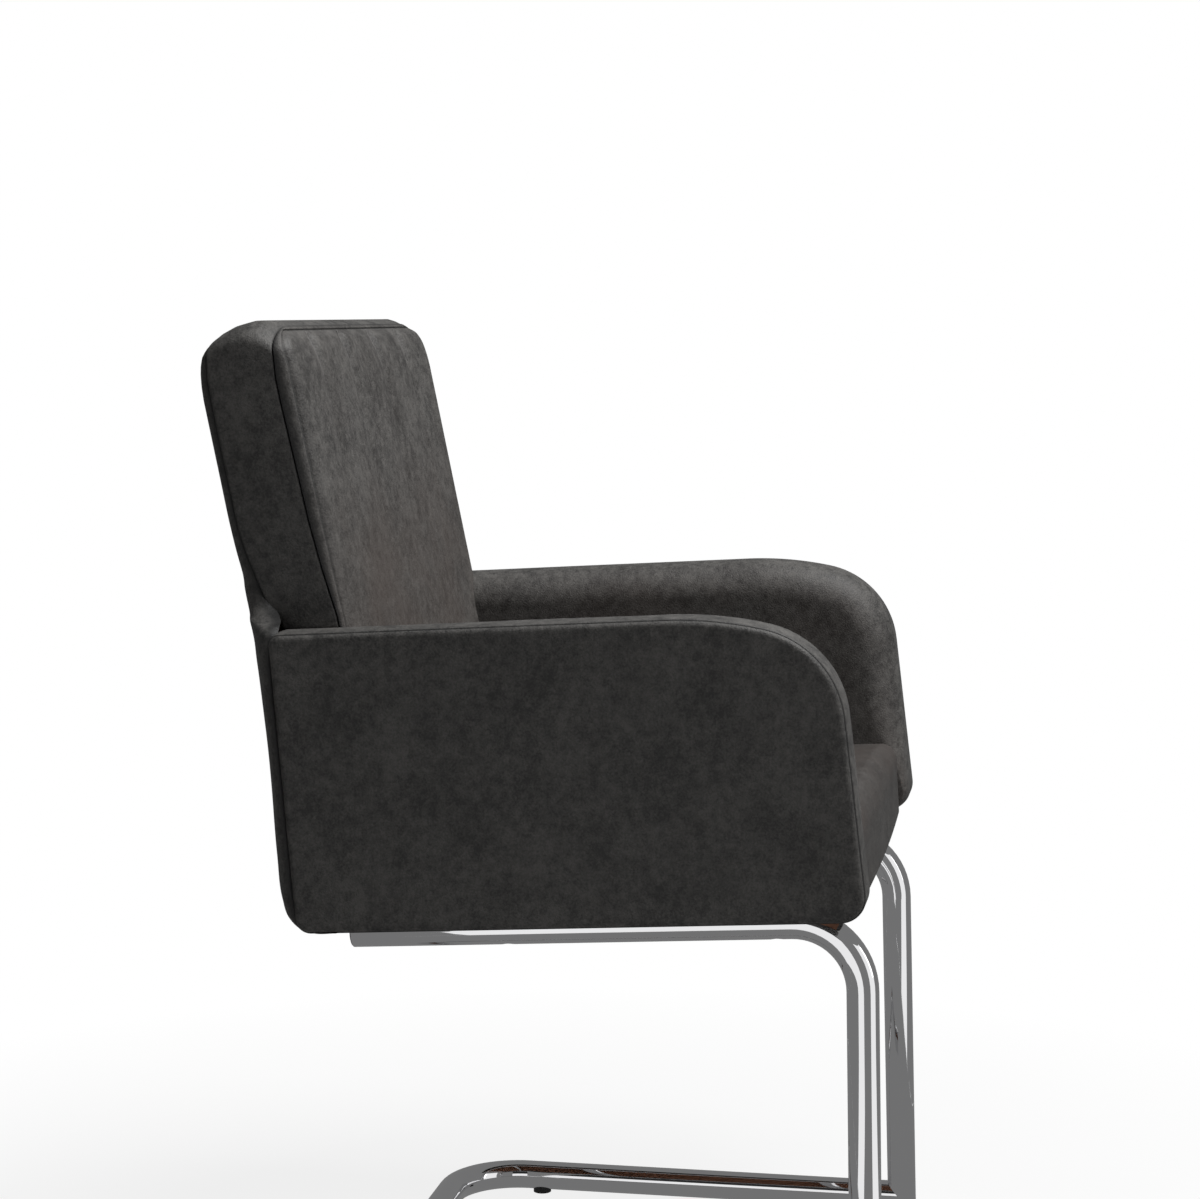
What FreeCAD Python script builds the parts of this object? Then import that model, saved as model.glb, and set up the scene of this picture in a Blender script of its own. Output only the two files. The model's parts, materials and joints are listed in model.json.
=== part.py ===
"""Upholstered cantilever armchair on a round-tube frame, in millimetres.

The front faces -Y, +Z is up and the floor is Z = 0. The seat shell is drawn in
its own tilted axes: y runs back along the seat rails, z stands square to them
from the rails' upper side. The back is drawn in axes that lean further: v runs
back through its thickness and w climbs along it.
"""
import FreeCAD, Part

import math
import os

from FreeCAD import Placement, Rotation, Vector

SIZES = {
    # Tube frame
    "tube_diameter": 28.0,
    "tube_wall": 2.0,
    "cross_tube_diameter": 22.0,
    "rail_inset": 30.6,
    "foot_splay": 20.0,
    "rail_top_height": 386.4,
    "rail_tilt": 3.38,
    "rail_rear": 198.6,
    "knee_front": 248.1,
    "knee_radius": 58.3,
    "foot_front": 257.5,
    "loop_rear": 192.0,
    "loop_radius": 67.0,
    "front_cross_tube_place": -150.0,
    "rear_cross_tube_place": 120.0,
    "glide_height": 3.0,
    "glide_diameter": 18.0,
    "glide_peg_diameter": 6.0,
    "glide_peg_length": 9.0,
    "front_glide_place": -215.0,
    "rear_glide_place": 112.0,
    "plug_depth": 14.0,
    # Bolts through the rails
    "bolt_diameter": 6.0,
    "bolt_head_diameter": 10.0,
    "bolt_head_height": 4.0,
    "washer_diameter": 11.0,
    "washer_height": 3.0,
    "access_hole_diameter": 13.0,
    "nut_barrel_diameter": 8.0,
    "nut_flange_diameter": 19.0,
    "nut_flange_height": 1.5,
    "front_bolt_place": -175.0,
    "rear_bolt_place": 60.0,
    "bolt_play": 0.3,
    # Seat carcass
    "bottom_cover_thickness": 4.0,
    "bottom_cover_front": 240.0,
    "bottom_cover_rear": 212.0,
    "base_thickness": 12.0,
    "base_front": 246.0,
    "base_rear": 205.0,
    "seat_rail_thickness": 20.0,
    "seat_rail_height": 20.0,
    "webbing_thickness": 1.6,
    "webbing_width": 60.0,
    "webbing_count": 5,
    "dowel_diameter": 8.0,
    # Upholstery
    "cover_thickness": 2.5,
    "gap": 0.3,
    # Arms
    "arm_outer": 290.0,
    "arm_width": 65.0,
    "arm_top": 260.1,
    "arm_front": 262.5,
    "arm_front_lean": 3.65,
    "arm_rear": 224.0,
    "arm_rear_lean": 1.7,
    "arm_brow_start": 103.8,
    "arm_brow_radius": 347.0,
    "arm_brow_turn": 13.5,
    "arm_nose_radius": 88.0,
    "arm_toe_radius": 22.0,
    "arm_heel_radius": 14.0,
    "arm_corner_radius": 10.0,
    "arm_crown": 3.0,
    "arm_edge_roll": 6.0,
    "arm_seam_setback": 4.0,
    "arm_board_thickness": 18.0,
    "arm_board_inset": 16.0,
    "hidden_corner_radius": 1.0,
    # Seat cushion
    "seat_side_gap": 0.4,
    "seat_front": 251.0,
    "seat_side_height": 75.0,
    "seat_crown": 12.0,
    "seat_front_radius": 20.0,
    "seat_front_overhang": 2.0,
    "seat_rear_radius": 8.0,
    "seat_edge_drop": 3.0,
    # Back
    "back_front": 140.1,
    "back_front_height": 20.0,
    "back_lean": 8.3,
    "back_inset": 48.0,
    "back_height": 515.0,
    "back_thickness": 84.5,
    "back_top_front_radius": 46.0,
    "back_top_rear_radius": 36.0,
    "back_front_roll": 15.0,
    "back_rear_roll": 9.0,
    "back_edge_width": 12.0,
    "back_edge_drop": 5.0,
    "back_channel_share": 0.4215,
    "back_channel_depth": 4.0,
    "back_arm_clearance": 4.2,
    "stile_width": 30.0,
    "stile_depth": 25.0,
    "stile_inset": 47.0,
    "stile_front": 45.0,
    "top_rail_height": 40.0,
    "back_strap_count": 4,
    "back_strap_width": 60.0,
    # Rear cover round the arms' ends
    "rear_cover_depth": 16.0,
    "rear_cover_heel_radius": 26.0,
    "rear_cover_wrap": 19.0,
    "rear_cover_foot_roll": 12.0,
    "rear_cover_foot_reach": 30.0,
    "rear_cover_head_roll": 24.0,
    "rear_cover_head_reach": 105.0,
}

# Widths that follow from the arms, as formulas in the same sheet.
TIED_SIZES = {
    "arm_inner": "=arm_outer - arm_width",
    "seat_half_width": "=arm_inner - seat_side_gap",
    "rail_half_span": "=seat_half_width - rail_inset",
    "foot_half_span": "=rail_half_span + foot_splay",
    "back_half_width": "=arm_outer - back_inset",
    "back_channel_pitch": "=back_half_width * back_channel_share",
    "stile_centre": "=back_half_width - stile_inset",
}

doc = FreeCAD.newDocument("cantilever_chair")
sheet = doc.addObject("Spreadsheet::Sheet", "sizes")
for row, (name, value) in enumerate({**SIZES, **TIED_SIZES}.items(), start=1):
    sheet.set(f"A{row}", name)
    sheet.set(f"B{row}", str(value))
    sheet.setAlias(f"B{row}", name)
doc.recompute()


def size(name):
    """Value of one named cell."""
    return float(sheet.get(name))


TUBE_RADIUS = size("tube_diameter") / 2
BASE_TOP = size("bottom_cover_thickness") + size("base_thickness")
RAIL_TOP = BASE_TOP + size("seat_rail_height")
WEBBING_TOP = RAIL_TOP + size("webbing_thickness")
GAP = size("gap")
COVER = size("cover_thickness")
# The most of a profile's side that its two corner arcs may take up.
ARC_SHARE = 0.98

# Seat shell axes in the room, and back axes inside the seat shell.
SEAT = Placement(
    Vector(0, 0, size("rail_top_height")),
    Rotation(Vector(1, 0, 0), -size("rail_tilt")),
)
BACK = Placement(
    Vector(0, size("back_front"), size("back_front_height")),
    Rotation(Vector(1, 0, 0), -size("back_lean")),
)
SIDES = (("right", -1), ("left", 1))
sub_parts = []


def keep(piece, label, place=None):
    """Name a finished sub-part and put it in the room."""
    piece.Label = label
    if place is not None:
        piece.Placement = place
    sub_parts.append(piece)
    return piece


def shape_part(shape, label, place=SEAT):
    """Sub-part whose shape is worked out from the sheet."""
    piece = doc.addObject("Part::Feature", label)
    piece.Shape = shape
    return keep(piece, label, place)


def box_part(label, extents, corner):
    """Box feature with its three lengths bound to the sheet."""
    block = doc.addObject("Part::Box", label + "_blank")
    for side, expression in zip(("Length", "Width", "Height"), extents):
        block.setExpression(side, expression)
    block.Placement = Placement(corner, Rotation())
    return block


def rod(label, radius, length, place):
    """Cylinder feature with its radius bound to the sheet."""
    piece = doc.addObject("Part::Cylinder", label)
    piece.setExpression("Radius", radius)
    piece.Height = length
    piece.Placement = place
    return piece


def bend(label, radius, ring, turn, place):
    """Bent stretch of tube: part of a ring in its own XY plane."""
    piece = doc.addObject("Part::Torus", label)
    piece.setExpression("Radius1", ring)
    piece.setExpression("Radius2", radius)
    piece.Angle3 = turn
    piece.Placement = place
    return piece


def fused(label, pieces):
    """One feature from several that meet."""
    joined = doc.addObject("Part::MultiFuse", label)
    joined.Shapes = pieces
    return joined


def cut(label, base, tool):
    """Base feature less the tool feature."""
    piece = doc.addObject("Part::Cut", label)
    piece.Base = base
    piece.Tool = tool
    return piece


def holder(label, shape):
    """Plain feature that carries a worked-out cutter."""
    piece = doc.addObject("Part::Feature", label)
    piece.Shape = shape
    return piece


def block(low, high):
    """Solid box between two corners."""
    low, high = Vector(*low), Vector(*high)
    return Part.makeBox(high.x - low.x, high.y - low.y, high.z - low.z, low)


def half_space(point, normal, reach):
    """Large box whose near face passes through a point, square to a normal."""
    cutter = Part.makeBox(2 * reach, 2 * reach, reach, Vector(-reach, -reach, 0))
    cutter.Placement = Placement(point, Rotation(Vector(0, 0, 1), normal))
    return cutter


# Profiles of soft forms


def inset_polygon(points, inset):
    """Convex polygon, anticlockwise, with each side moved inwards."""
    moved = []
    count = len(points)
    lines = []
    for i in range(count):
        ay, az = points[i]
        by, bz = points[(i + 1) % count]
        length = math.hypot(by - ay, bz - az)
        inward = (-(bz - az) / length, (by - ay) / length)
        depth = inset[i] if isinstance(inset, (list, tuple)) else inset
        lines.append((ay + inward[0] * depth, az + inward[1] * depth, by - ay, bz - az))
    for i in range(count):
        y1, z1, dy1, dz1 = lines[i - 1]
        y2, z2, dy2, dz2 = lines[i]
        cross = dy1 * dz2 - dz1 * dy2
        along = ((y2 - y1) * dz2 - (z2 - z1) * dy2) / cross
        moved.append((y1 + dy1 * along, z1 + dz1 * along))
    return moved


def rounded_wire(points, radii, x):
    """Closed wire in the plane X = x: straight sides and tangent arcs.

    Two arcs that would meet on a short side are both drawn smaller.
    """
    count = len(points)
    corners = [Vector(x, *point) for point in points]
    halves, reaches = [], []
    for i in range(count):
        before = corners[i - 1] - corners[i]
        after = corners[(i + 1) % count] - corners[i]
        halves.append(before.getAngle(after) / 2)
        reaches.append(radii[i] / math.tan(halves[i]))
    fits = []
    for i in range(count):
        side = (corners[(i + 1) % count] - corners[i]).Length
        fits.append(min(1.0, side * ARC_SHARE / (reaches[i] + reaches[(i + 1) % count])))
    ends = []
    for i in range(count):
        fit = min(fits[i - 1], fits[i])
        before = (corners[i - 1] - corners[i]).normalize()
        after = (corners[(i + 1) % count] - corners[i]).normalize()
        middle = (before + after).normalize()
        radius = radii[i] * fit
        centre = corners[i] + middle * (radius / math.sin(halves[i]))
        reach = reaches[i] * fit
        ends.append((corners[i] + before * reach, centre - middle * radius, corners[i] + after * reach))
    edges = []
    for i in range(count):
        start, middle, end = ends[i]
        edges.append(Part.Arc(start, middle, end).toShape())
        edges.append(Part.LineSegment(end, ends[(i + 1) % count][0]).toShape())
    return Part.Wire(edges)


def lofted(wires):
    """Closed solid that runs straight from each wire to the next."""
    return Part.makeLoft(wires, True, True)


def polar_side(start, lean, height):
    """Y of a leaning side at a height above its start."""
    return start + height * math.tan(math.radians(lean))


# Side tubes: seat rail, knee and splayed front leg


def side_path(side):
    """Room points of one side tube: rail end, knee corner and foot corner."""
    axis = -TUBE_RADIUS
    rail_end = SEAT.multVec(Vector(side * size("rail_half_span"), size("rail_rear"), axis))
    knee = SEAT.multVec(Vector(side * size("rail_half_span"), -size("knee_front"), axis))
    floor_axis = size("glide_height") + TUBE_RADIUS
    foot = Vector(side * size("foot_half_span"), -size("foot_front"), floor_axis)
    return rail_end, knee, foot


def mitre_normal(side):
    """Square to the cut where a leg meets its runner."""
    rail_end, knee, foot = side_path(side)
    return ((foot - knee).normalize() + Vector(0, 1, 0)).normalize()


def rail_bolt_points(side):
    """Seat-axes points where the bolts pass through one rail."""
    x = side * size("rail_half_span")
    return [Vector(x, size(place), 0) for place in ("front_bolt_place", "rear_bolt_place")]


def rail_bolt_holes(radius, low, high):
    """Cutters round all four bolts, in the seat's axes."""
    holes = []
    for _, side in SIDES:
        for point in rail_bolt_points(side):
            start = Vector(point.x, point.y, low)
            holes.append(Part.makeCylinder(radius, high - low, start))
    return Part.makeCompound(holes)


def make_side_tube(name, side):
    """Bent tube, bored through, mitred at the foot and drilled for two bolts."""
    rail_end, knee, foot = side_path(side)
    forward = (knee - rail_end).normalize()
    down = (foot - knee).normalize()
    turn = math.degrees(forward.getAngle(down))
    tangent = size("knee_radius") * math.tan(math.radians(turn) / 2)
    rail_length = (knee - rail_end).Length - tangent
    leg_length = (foot - knee).Length - tangent + size("tube_diameter")
    in_plane = (down - forward * forward.dot(down)).normalize()
    plane = Placement(rail_end, Rotation(forward, in_plane, Vector(), "XYZ"))
    centre = Vector(rail_length, size("knee_radius"), 0)
    swing = Rotation(Vector(0, 0, 1), turn)
    leg_start = centre + swing.multVec(Vector(0, -size("knee_radius"), 0))
    lay = Rotation(Vector(0, 1, 0), 90)

    def run(kind, radius, spare):
        rail = rod(f"{name}_{kind}_rail", radius, rail_length + spare,
                   Placement(Vector(-spare, 0, 0), lay))
        knee_bend = bend(f"{name}_{kind}_knee", radius, "sizes.knee_radius", turn,
                         Placement(centre, Rotation(Vector(0, 0, 1), -90)))
        leg = rod(f"{name}_{kind}_leg", radius, leg_length + spare,
                  Placement(leg_start, swing * lay))
        return fused(f"{name}_{kind}", [rail, knee_bend, leg])

    outer = run("wall", "sizes.tube_diameter / 2", 0)
    inner = run("bore", "sizes.tube_diameter / 2 - sizes.tube_wall", 1)
    tube = cut(f"{name}_tube", outer, inner)
    tube.Placement = plane
    mitre = half_space(foot, mitre_normal(side), size("tube_diameter") * 3)
    upper_holes = rail_bolt_holes(size("bolt_diameter") / 2 + size("bolt_play"),
                                  -TUBE_RADIUS, TUBE_RADIUS)
    access_holes = rail_bolt_holes(size("access_hole_diameter") / 2,
                                   -size("tube_diameter") - TUBE_RADIUS, -TUBE_RADIUS)
    upper_holes.Placement = access_holes.Placement = SEAT
    cutter = holder(f"{name}_cutter", Part.makeCompound([mitre, upper_holes, access_holes]))
    keep(cut(name, tube, cutter), name)


# Floor loop: two runners and the rear cross run


def glide_points():
    """Floor point under each glide, with its name."""
    points = []
    for place in ("front", "rear"):
        for name, side in SIDES:
            y = size(f"{place}_glide_place")
            points.append((f"glide_{place}_{name}", Vector(side * size("foot_half_span"), y, 0)))
    return points


def make_floor_loop():
    """Runners mitred to the legs, two bends and the cross run behind them."""
    axis = size("glide_height") + TUBE_RADIUS
    span = size("foot_half_span")
    radius = size("loop_radius")
    start = -size("foot_front") - size("tube_diameter")
    runner = size("loop_rear") - radius - start
    cross = 2 * (span - radius)
    along = Rotation(Vector(1, 0, 0), -90)
    across = Rotation(Vector(0, 1, 0), 90)

    def run(kind, tube):
        right = rod(f"loop_{kind}_right", tube, runner, Placement(Vector(-span, start, axis), along))
        left = rod(f"loop_{kind}_left", tube, runner, Placement(Vector(span, start, axis), along))
        rear = rod(f"loop_{kind}_rear", tube, cross,
                   Placement(Vector(radius - span, size("loop_rear"), axis), across))
        centre_y = size("loop_rear") - radius
        right_bend = bend(f"loop_{kind}_right_bend", tube, "sizes.loop_radius", 90,
                          Placement(Vector(radius - span, centre_y, axis),
                                    Rotation(Vector(0, 0, 1), 90)))
        left_bend = bend(f"loop_{kind}_left_bend", tube, "sizes.loop_radius", 90,
                         Placement(Vector(span - radius, centre_y, axis), Rotation()))
        return fused(f"loop_{kind}", [right, right_bend, rear, left_bend, left])

    tube = cut("loop_tube", run("wall", "sizes.tube_diameter / 2"),
               run("bore", "sizes.tube_diameter / 2 - sizes.tube_wall"))
    cutters = []
    for _, side in SIDES:
        foot = side_path(side)[2]
        cutters.append(half_space(foot, -mitre_normal(side), size("tube_diameter") * 3))
    for _, point in glide_points():
        radius = size("glide_peg_diameter") / 2 + size("bolt_play")
        cutters.append(Part.makeCylinder(radius, axis, point))
    keep(cut("floor_loop", tube, holder("floor_loop_cutter", Part.makeCompound(cutters))), "floor_loop")


def make_glides():
    """Flat feet with a hollow top that fits the runner and a peg into its hole."""
    axis = size("glide_height") + TUBE_RADIUS
    for name, point in glide_points():
        pad = rod(f"{name}_pad", "sizes.glide_diameter / 2", size("glide_height") * 2,
                  Placement(point, Rotation()))
        peg = rod(f"{name}_peg", "sizes.glide_peg_diameter / 2",
                  size("glide_height") + size("glide_peg_length"), Placement(point, Rotation()))
        saddle = rod(f"{name}_saddle", "sizes.tube_diameter / 2", size("glide_diameter") * 2,
                     Placement(point + Vector(0, -size("glide_diameter"), axis),
                               Rotation(Vector(1, 0, 0), -90)))
        shaped = cut(f"{name}_shaped", pad, saddle)
        keep(fused(name, [shaped, peg]), name)


# Cross tubes, plugs and bolts under the seat


def make_cross_tube(name, place):
    """Straight tube between the rails, coped to their round sides."""
    span = size("rail_half_span")
    axis = Vector(-span, size(place), -TUBE_RADIUS)
    lay = Rotation(Vector(0, 1, 0), 90)
    wall = rod(f"{name}_wall", "sizes.cross_tube_diameter / 2", 2 * span, Placement(axis, lay))
    bore = rod(f"{name}_bore", "sizes.cross_tube_diameter / 2 - sizes.tube_wall", 2 * span,
               Placement(axis, lay))
    reach = size("cross_tube_diameter")
    rails = []
    for _, side in SIDES:
        start = Vector(side * span, axis.y - reach, -TUBE_RADIUS)
        rails.append(Part.makeCylinder(TUBE_RADIUS, 2 * reach, start, Vector(0, 1, 0)))
    tube = cut(f"{name}_tube", wall, bore)
    keep(cut(name, tube, holder(f"{name}_cope", Part.makeCompound(rails))), name, SEAT)


def make_rail_plugs():
    """Ribless plugs that close the open rear ends of both rails."""
    plugs = []
    for _, side in SIDES:
        end = Vector(side * size("rail_half_span"), size("rail_rear"), -TUBE_RADIUS)
        inside = TUBE_RADIUS - size("tube_wall") - GAP / 3
        stem = Part.makeCylinder(inside, size("plug_depth"), end, Vector(0, -1, 0))
        cap = Part.makeCylinder(TUBE_RADIUS - size("tube_wall") / 2, size("tube_wall") / 2, end,
                                Vector(0, 1, 0))
        plugs.append(stem.fuse(cap))
    shape_part(Part.makeCompound(plugs), "rail_end_plugs")


def make_bolt_set():
    """Bolts with their heads and hollow-backed washers inside the rails, and nuts in the base.

    Each head goes in through a hole under the rail and pulls on its upper wall.
    """
    bolts, washers, nuts = [], [], []
    shank = size("bolt_diameter") / 2
    bore_radius = TUBE_RADIUS - size("tube_wall")
    head_top = -size("tube_wall") - size("washer_height")
    head_base = head_top - size("bolt_head_height")
    nut_base = size("bottom_cover_thickness")
    nut_top = BASE_TOP + size("nut_flange_height")
    room = Part.makeCylinder(bore_radius, size("washer_diameter") * 2,
                             Vector(0, -size("washer_diameter"), -TUBE_RADIUS), Vector(0, 1, 0))
    for _, side in SIDES:
        for point in rail_bolt_points(side):
            start = point + Vector(0, 0, head_base)
            head = Part.makeCylinder(size("bolt_head_diameter") / 2, size("bolt_head_height"), start)
            bolts.append(head.fuse(Part.makeCylinder(shank, nut_top - head_base, start)))
            hole = Part.makeCylinder(shank + size("bolt_play"), -head_base, start)
            washer = Part.makeCylinder(size("washer_diameter") / 2, size("washer_height"),
                                       point + Vector(0, 0, head_top))
            washers.append(washer.common(room.translated(point)).cut(hole))
            barrel = Part.makeCylinder(size("nut_barrel_diameter") / 2, nut_top - nut_base,
                                       point + Vector(0, 0, nut_base))
            flange = Part.makeCylinder(size("nut_flange_diameter") / 2, size("nut_flange_height"),
                                       point + Vector(0, 0, BASE_TOP))
            bore = Part.makeCylinder(shank + GAP / 3, nut_top, point)
            nuts.append(barrel.fuse(flange).cut(bore))
    shape_part(Part.makeCompound(bolts), "seat_bolts")
    shape_part(Part.makeCompound(washers), "saddle_washers")
    shape_part(Part.makeCompound(nuts), "base_nuts")


# Seat carcass


def carcass_half_width():
    """Half width of the wooden seat, inside the seat cover's side skirts."""
    return size("seat_half_width") - COVER - GAP


def arm_dowels(radius, side):
    """Cutters or dowels from the seat's side rails into one arm board."""
    start = carcass_half_width() - size("seat_rail_thickness")
    centre = (size("arm_inner") + size("arm_outer")) / 2
    length = centre - start
    height = (BASE_TOP + RAIL_TOP) / 2
    solids = []
    for place in ("front_bolt_place", "rear_bolt_place"):
        base = Vector(side * start, size(place), height)
        solids.append(Part.makeCylinder(radius, length, base, Vector(side, 0, 0)))
    return Part.makeCompound(solids)


def dowel_holes(side):
    """Dowel cutters with working clearance."""
    return arm_dowels(size("dowel_diameter") / 2 + GAP / 3, side)


def make_bottom_cover():
    """Brown sheet under the seat, resting on both rails."""
    half = size("seat_half_width") - COVER
    sheet_box = box_part("bottom_cover", (
        "2 * (sizes.seat_half_width - sizes.cover_thickness)",
        "sizes.bottom_cover_front + sizes.bottom_cover_rear",
        "sizes.bottom_cover_thickness"), Vector(-half, -size("bottom_cover_front"), 0))
    holes = rail_bolt_holes(size("bolt_diameter") / 2 + size("bolt_play"), -1, BASE_TOP)
    keep(cut("bottom_cover", sheet_box, holder("bottom_cover_holes", holes)), "bottom_cover", SEAT)


def make_base_board():
    """Plywood base with a hole for each nut."""
    half = carcass_half_width()
    board = box_part("base_board", (
        "2 * (sizes.seat_half_width - sizes.cover_thickness - sizes.gap)",
        "sizes.base_front + sizes.base_rear",
        "sizes.base_thickness"), Vector(-half, -size("base_front"), size("bottom_cover_thickness")))
    holes = rail_bolt_holes(size("nut_barrel_diameter") / 2 + GAP / 3, 0, RAIL_TOP)
    keep(cut("base_board", board, holder("base_board_holes", holes)), "base_board", SEAT)


def seat_rail_rear():
    """Y of the seat cushion's wooden frame at its rear, in front of the back."""
    return back_point(-size("back_channel_depth"), BASE_TOP)[0] - COVER - 3 * GAP


def make_seat_rails():
    """Four rails glued on the base board; the side rails run between the others."""
    half = carcass_half_width()
    thick = size("seat_rail_thickness")
    front = -size("base_front")
    rear = seat_rail_rear()
    for name, y in (("front_seat_rail", front), ("rear_seat_rail", rear - thick)):
        rail = box_part(name, (
            "2 * (sizes.seat_half_width - sizes.cover_thickness - sizes.gap)",
            "sizes.seat_rail_thickness", "sizes.seat_rail_height"), Vector(-half, y, BASE_TOP))
        rail.Label = name
        keep(rail, name, SEAT * rail.Placement)
    for name, side in SIDES:
        x = -half if side < 0 else half - thick
        rail = block((x, front + thick, BASE_TOP), (x + thick, rear - thick, RAIL_TOP))
        nut_room = rail_bolt_holes(size("nut_flange_diameter") / 2 + GAP, BASE_TOP, RAIL_TOP)
        shape_part(rail.cut(nut_room).cut(dowel_holes(side)), f"side_seat_rail_{name}")


def make_seat_webbing():
    """Elastic straps stapled from the front rail to the rear rail."""
    half = carcass_half_width()
    count = int(size("webbing_count"))
    width = size("webbing_width")
    pitch = (2 * half - size("seat_rail_thickness") - width) / (count - 1)
    straps = []
    for i in range(count):
        x = -half + size("seat_rail_thickness") / 2 + i * pitch
        straps.append(block((x, -size("base_front"), RAIL_TOP),
                            (x + width, seat_rail_rear(), WEBBING_TOP)))
    shape_part(Part.makeCompound(straps), "seat_webbing")


# Arms


def arm_outline():
    """Corners and radii of an arm seen from the side, anticlockwise."""
    bottom = size("bottom_cover_thickness")
    top = size("arm_top")
    turn = math.radians(size("arm_brow_turn"))
    brow_reach = size("arm_brow_radius") * math.tan(turn / 2)
    brow = (-size("arm_brow_start") - brow_reach, top)
    lean = math.tan(math.radians(size("arm_front_lean")))
    # The nose corner is where the line past the brow meets the leaning front.
    slope = math.tan(turn)
    nose_z = (top + slope * (-size("arm_front") - lean * bottom - brow[0])) / (1 - slope * lean)
    nose = (-size("arm_front") + lean * (nose_z - bottom), nose_z)
    rear_top = polar_side(size("arm_rear"), size("arm_rear_lean"), top - bottom)
    points = [(-size("arm_front"), bottom), (size("arm_rear"), bottom), (rear_top, top), brow, nose]
    radii = [size("arm_toe_radius"), size("arm_heel_radius"), size("arm_corner_radius"),
             size("arm_brow_radius"), size("arm_nose_radius")]
    return points, radii


def arm_wire(x, inset, swell=0.0):
    """Arm outline moved inwards, in the plane X = x.

    The swell carries the top and front outwards and leaves the flat underside and rear.
    """
    points, radii = arm_outline()
    depths = [inset, inset, inset - swell, inset - swell, inset - swell]
    swelled = [0.0, 0.0, 0.0, swell, swell]
    rounded = [r - inset + grown for r, grown in zip(radii, swelled)]
    return rounded_wire(inset_polygon(points, depths), rounded, x)


def arm_form(side, inset):
    """Arm with crowned edge bands, moved inwards all round."""
    outer, inner = size("arm_outer") - inset, size("arm_inner") + inset
    roll, crown, setback = size("arm_edge_roll"), size("arm_crown"), size("arm_seam_setback")
    middle = (outer + inner) / 2
    quarter = (outer - inner) / 4
    # Station: distance from the middle of the chair, depth of the rolled edge, swell of the crown.
    stations = [
        (outer, roll, 0.0), (outer - setback * 0.3, roll * 0.3, 0.0), (outer - setback, 0.0, 0.0),
        (middle + quarter, 0.0, crown * 0.75), (middle, 0.0, crown),
        (middle - quarter, 0.0, crown * 0.75), (inner + setback, 0.0, 0.0),
        (inner + setback * 0.3, roll * 0.3, 0.0), (inner, roll, 0.0),
    ]
    return lofted([arm_wire(side * x, inset + depth, swell) for x, depth, swell in stations])


def arm_slab(side, near, far):
    """Large block over a stretch of an arm's width."""
    reach = size("arm_front") * 2
    low, high = sorted((side * near, side * far))
    return block((low, -reach, -reach), (high, reach, reach))


def make_arm(name, side):
    """Board, two foam halves, two leather panels and the band between them."""
    outer, inner = size("arm_outer"), size("arm_inner")
    setback = size("arm_seam_setback")
    middle = (outer + inner) / 2
    half_board = size("arm_board_thickness") / 2
    holes = dowel_holes(side)
    skin = arm_form(side, 0).cut(arm_form(side, COVER))
    outer_panel = skin.common(arm_slab(side, outer - setback, outer + 1))
    inner_panel = skin.common(arm_slab(side, inner - 1, inner + setback))
    band = skin.common(arm_slab(side, inner + setback, outer - setback))
    shape_part(outer_panel, f"arm_outer_panel_{name}")
    shape_part(band, f"arm_band_{name}")
    shape_part(inner_panel.cut(holes), f"arm_inner_panel_{name}")

    def board(half, inset):
        low, high = sorted((side * (middle - half), side * (middle + half)))
        face = Part.Face(arm_wire(low, inset))
        return face.extrude(Vector(high - low, 0, 0))

    inset = size("arm_board_inset")
    shape_part(board(half_board, inset).cut(holes), f"arm_board_{name}")
    foam = arm_form(side, COVER + GAP).cut(board(half_board + GAP, inset - GAP)).cut(holes)
    shape_part(foam.common(arm_slab(side, middle, outer)), f"arm_outer_foam_{name}")
    shape_part(foam.common(arm_slab(side, inner, middle)), f"arm_inner_foam_{name}")


def make_dowels():
    """Four dowels that hold the arms to the seat."""
    sets = [arm_dowels(size("dowel_diameter") / 2, side) for _, side in SIDES]
    shape_part(Part.makeCompound(sets), "arm_dowels")


# Back


def back_point(v, height):
    """Seat-axes (y, z) of the plane v of the back, at a height z."""
    lean = math.radians(size("back_lean"))
    climb = height - size("back_front_height")
    return (size("back_front") + (v + climb * math.sin(lean)) / math.cos(lean), height)


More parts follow.
